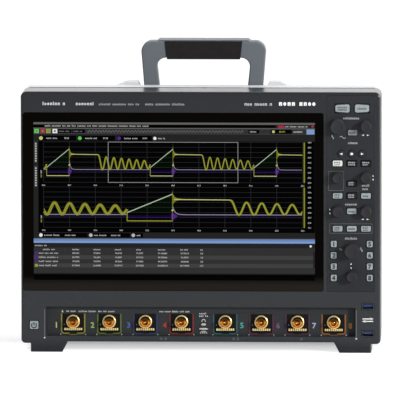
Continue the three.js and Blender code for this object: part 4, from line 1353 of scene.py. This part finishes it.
def tool_row(screen):
    """The row of coloured buttons, dark fields and an overview of the record."""
    row = 11.3
    for u, tone in ((1, S_GREEN), (8.4, S_RED), (15.4, S_YELLOW), (23.4, S_WHITE)):
        screen.block("chips", u, u + 5.8, 8.6, 13.8, tone, 1)
        screen.dot("chips", u + 2.9, 11.2, 1.3, S_BAR if tone is S_WHITE else S_DIM, 2)
    overview = [(66 + i * 1.2, 11.4 + math.sin(i * 1.9) * 1.5) for i in range(160)]
    screen.trace("chips", overview, 0.5, S_DIM, 1)
    # The ends of each dark field, then the ends of the words in it.
    for left, right, start, end, tone in (
        (30, 46.5, 31, 45, S_DIM),
        (47.5, 63, 49, 61, S_DIM),
        (263, 276, 265, 274, S_TEXT),
    ):
        screen.block("chips", left, right, 9, 13.6, S_BLACK, 1)
        screen.words("chips", start, end, row, 1.9, tone, 2)
    screen.block("chips", 290, 316, 8.6, 14, S_BLACK, 1)
    screen.dot("chips", 293.5, row, 1.7, S_BRIGHT, 2)
    screen.number("chips", 304, row, 5, 2.2, S_YELLOW, 2)
    screen.words("chips", 318, 330, row, 2.4)
    screen.block("chips", 334, 343.6, 8.4, 14.6, S_PALE_BLUE, 1)


def upper_badges(screen):
    """The channel badges over the plots, and the tabs down their left side."""
    row = 19.9
    for u, end, tone in ((6.6, 52.6, S_YELLOW), (54.2, 100, S_GREEN), (102.2, 145, S_PURPLE)):
        screen.block("badges", u, end, 16.8, 23, S_BLACK)
        screen.dot("badges", u + 2.6, row, 2.3, S_BRIGHT if tone is S_YELLOW else tone, 1)
        screen.words("badges", u + 9, u + 25, row)
        screen.number("badges", u + 34, row, 4)
    screen.dot("badges", 148.6, row, 2.0, S_WHITE, 1)
    screen.words("badges", 152.5, 162, row)
    for v0, v1 in ((24, 50), (54, 80)):
        screen.block("tabs", 1.0, 4.6, v0, v1, S_MID, 1)
        for v in range(v0 + 2, v1 - 1, 3):
            screen.block("tabs", 1.9, 3.8, v, v + 1.8, S_TEXT, 2)


def lower_badges(screen):
    """The badges under the plots."""
    row = 139.1
    for u, end in ((8.8, 68), (69.9, 120), (122, 136)):
        width = end - u
        screen.block("badges", u - 2.6, end - 2, 136.4, 141.8, S_BLACK)
        screen.dot("badges", u, row, 2.2, S_WHITE if u < 10 else S_TEXT, 1)
        screen.words("badges", u + 4, u + 5 + width * 0.3, row)
        if width > 40:
            screen.words("badges", u + width * 0.5, u + width * 0.72, row)


# Where each column of the table of readings starts and ends.
COLUMNS = (
    (6.2, 30.8),
    (44.2, 58.9),
    (70.5, 84.5),
    (96.2, 111.4),
    (122.5, 137.1),
    (148.1, 167.5),
    (176.1, 193.6),
    (203, 208.3),
)


def results_table(screen):
    """The blue title bar and the table of readings."""
    for v0, v1, tone in (
        (142.9, 143.8, S_BAR),
        (143.8, 146.2, S_BLUE),
        (146.2, 148.7, S_PALE_BLUE),
        (148.7, 150, S_EDGE_BLUE),
        (154.4, 158.7, S_GREY),
        (179, 185.6, S_GREY),
    ):
        screen.bar("title", v0, v1, tone)
    screen.dot("title", 339, 152, 1.4, S_WHITE, 1)
    screen.words("title", 1.5, 17, 151.9, 1.9)
    for u0, u1 in COLUMNS:
        middle, half = (u0 + u1) / 2, (u1 - u0) * 0.3
        screen.words("table", middle - half, middle + half, 156.7, 1.9)
        screen.block("table", u1 + 7, u1 + 7.3, 155, 158.6, S_MID, 1)
    for row, swatch in enumerate((S_PURPLE, S_PURPLE, S_PURPLE, S_YELLOW)):
        v = 161.2 + 5.06 * row
        screen.block("rows", 0, 342, v - 2.5, v + 2.5, S_MID if row % 2 else S_GREY)
        screen.block("table", 1.4, 5.0, v - 1.7, v + 1.7, swatch, 1)
        screen.words("table", *COLUMNS[0], v)
        for u0, u1 in COLUMNS[1:]:
            digits = round((u1 - u0) / 2.4) + (row == 3)
            screen.number("table", (u0 + u1) / 2, v, digits)
    screen.bar("bars", 187.0, 194.2, S_BLACK)


def display():
    """Everything that is lit on the display."""
    screen = Screen()
    menu(screen)
    tool_row(screen)
    upper_badges(screen)
    grid(screen, UPPER_TOP)
    grid(screen, LOWER_TOP)
    plot(screen, "upper_trace", UPPER_TOP, 1.0, PLOT_LEFT + 3.8, 1.0)
    plot(screen, "lower_trace", LOWER_TOP, 2.0, 114.4, 1.3)
    left, right, bottom = 91.5, 250.1, UPPER_TOP + PLOT_HEIGHT
    window = [(left, UPPER_TOP), (right, UPPER_TOP), (right, bottom), (left, bottom), (left, UPPER_TOP)]
    screen.trace("zoom_window", window, 0.6, S_BORDER, 4)
    lower_badges(screen)
    results_table(screen)
    screen.build()


display()


# ---------------------------------------------------------------- studio
TABLE_GLOW = 0.13
TABLE_NEAR, TABLE_FAR = 0.86, 0.24  # how bright the table looks to the camera at the object's front, and 11 cm behind it: painted shade under the object
ROOM_FRONT, ROOM_BACK = 0.12, 1.6
ROOM_SEEN = 1.1
ROOM_SPREAD = 0.5  # how much of the room's light reaches matt surfaces
SKY_PANEL = 2.2
KEY_LIGHT = 160


def light_table():
    """A plain pale floor that glows a little, as a lit acrylic table does, with painted shade under the
    object where its glow fades.
    """
    look = Look("light_table")
    look.paint(look.patches(900, 2), (0.74, 0.74, 0.74), (0.77, 0.77, 0.77))
    look.set(Roughness=0.9, Specular_IOR_Level=0.1, Emission_Color=(1, 1, 1, 1))
    # Painted shade under the object: the glow the camera sees fades from the object's front to 11 cm behind
    # it.
    painted_shade_fade = look.between(look.along("Y"), TABLE_NEAR, TABLE_FAR, FRONT + 0.01, FRONT + 0.11)
    glow = look.node("ShaderNodeMix", A=TABLE_GLOW)
    look.link(look.node("ShaderNodeLightPath").outputs["Is Camera Ray"], glow.inputs["Factor"])
    look.link(painted_shade_fade, glow.inputs["B"])
    look.link(glow.outputs["Result"], look.surface.inputs["Emission Strength"])
    floor = bmesh.new()
    reach = 40
    corners = ((-1, -1), (1, -1), (1, 1), (-1, 1))
    floor.faces.new([floor.verts.new((x * reach, y * reach, 0)) for x, y in corners])
    data = bpy.data.meshes.new("light_table")
    floor.to_mesh(data)
    floor.free()
    data.materials.append(look.material)
    put("light_table", data)


def surroundings():
    """A white room that is bright behind the object and dim in front of it."""
    world = bpy.data.worlds.new("studio_world")
    world.use_nodes = True
    sky = Wiring(world.node_tree)
    behind = sky.between(sky.along("Y", "Generated"), ROOM_FRONT, ROOM_BACK, -0.5, 0.7)
    rays = sky.node("ShaderNodeLightPath")
    spread = sky.between(rays.outputs["Is Diffuse Ray"], 1.0, ROOM_SPREAD, 0, 1)
    lighting = sky.node("ShaderNodeMath")
    lighting.operation = "MULTIPLY"
    sky.link(behind, lighting.inputs[0])
    sky.link(spread, lighting.inputs[1])
    seen = sky.node("ShaderNodeMix", B=ROOM_SEEN)
    sky.link(rays.outputs["Is Camera Ray"], seen.inputs["Factor"])
    sky.link(lighting.outputs["Value"], seen.inputs["A"])
    background = sky.tree.nodes["Background"]
    background.inputs["Color"].default_value = (1, 1, 1, 1)
    sky.link(seen.outputs["Result"], background.inputs["Strength"])
    bpy.context.scene.world = world


def key_light():
    """A soft rectangular light, low and to the right of the camera."""
    light = bpy.data.lights.new("key_light", "AREA")
    light.shape = "RECTANGLE"
    light.size, light.size_y = 0.6, 0.8
    light.energy = KEY_LIGHT
    place, target = Vector((3.05, -3.0, 1.2)), Vector((0.1, 0, 0.18))
    lamp = put("key_light", light)
    lamp.location = place
    lamp.rotation_mode = "QUATERNION"
    lamp.rotation_quaternion = (target - place).to_track_quat("-Z", "Y")


def sky_panel():
    """Even, soft light from straight above."""
    light = bpy.data.lights.new("sky_panel", "SUN")
    light.energy = SKY_PANEL
    light.angle = math.radians(70)
    put("sky_panel", light).rotation_euler = (math.radians(8), 0, 0)


light_table()
surroundings()
sky_panel()
key_light()


# ---------------------------------------------------------------- camera
CAMERA_DISTANCE = 12
CAMERA_PITCH = math.radians(6.1)
CAMERA_YAW = math.radians(2.4)
CAMERA_ROLL = math.radians(-0.08)
SENSOR = 36
VIEW_WIDTH = 0.4889  # what the picture spans at the front face
AIM = Vector((-0.0007, FRONT, 0.1879))


def camera():
    """The photograph's view: from far off, a little above and a little to the right."""
    lens = bpy.data.cameras.new("camera")
    lens.sensor_width = SENSOR
    lens.lens = SENSOR * CAMERA_DISTANCE / VIEW_WIDTH
    lens.clip_start, lens.clip_end = 0.1, 60
    level = math.cos(CAMERA_PITCH)
    away = Vector((math.sin(CAMERA_YAW) * level, -math.cos(CAMERA_YAW) * level, math.sin(CAMERA_PITCH)))
    made = put("camera", lens)
    made.location = AIM + away * CAMERA_DISTANCE
    made.rotation_mode = "QUATERNION"
    made.rotation_quaternion = (-away).to_track_quat("-Z", "Y") @ Quaternion((0, 0, 1), CAMERA_ROLL)
    bpy.context.scene.camera = made


camera()
bpy.context.scene.view_settings.view_transform = "Standard"
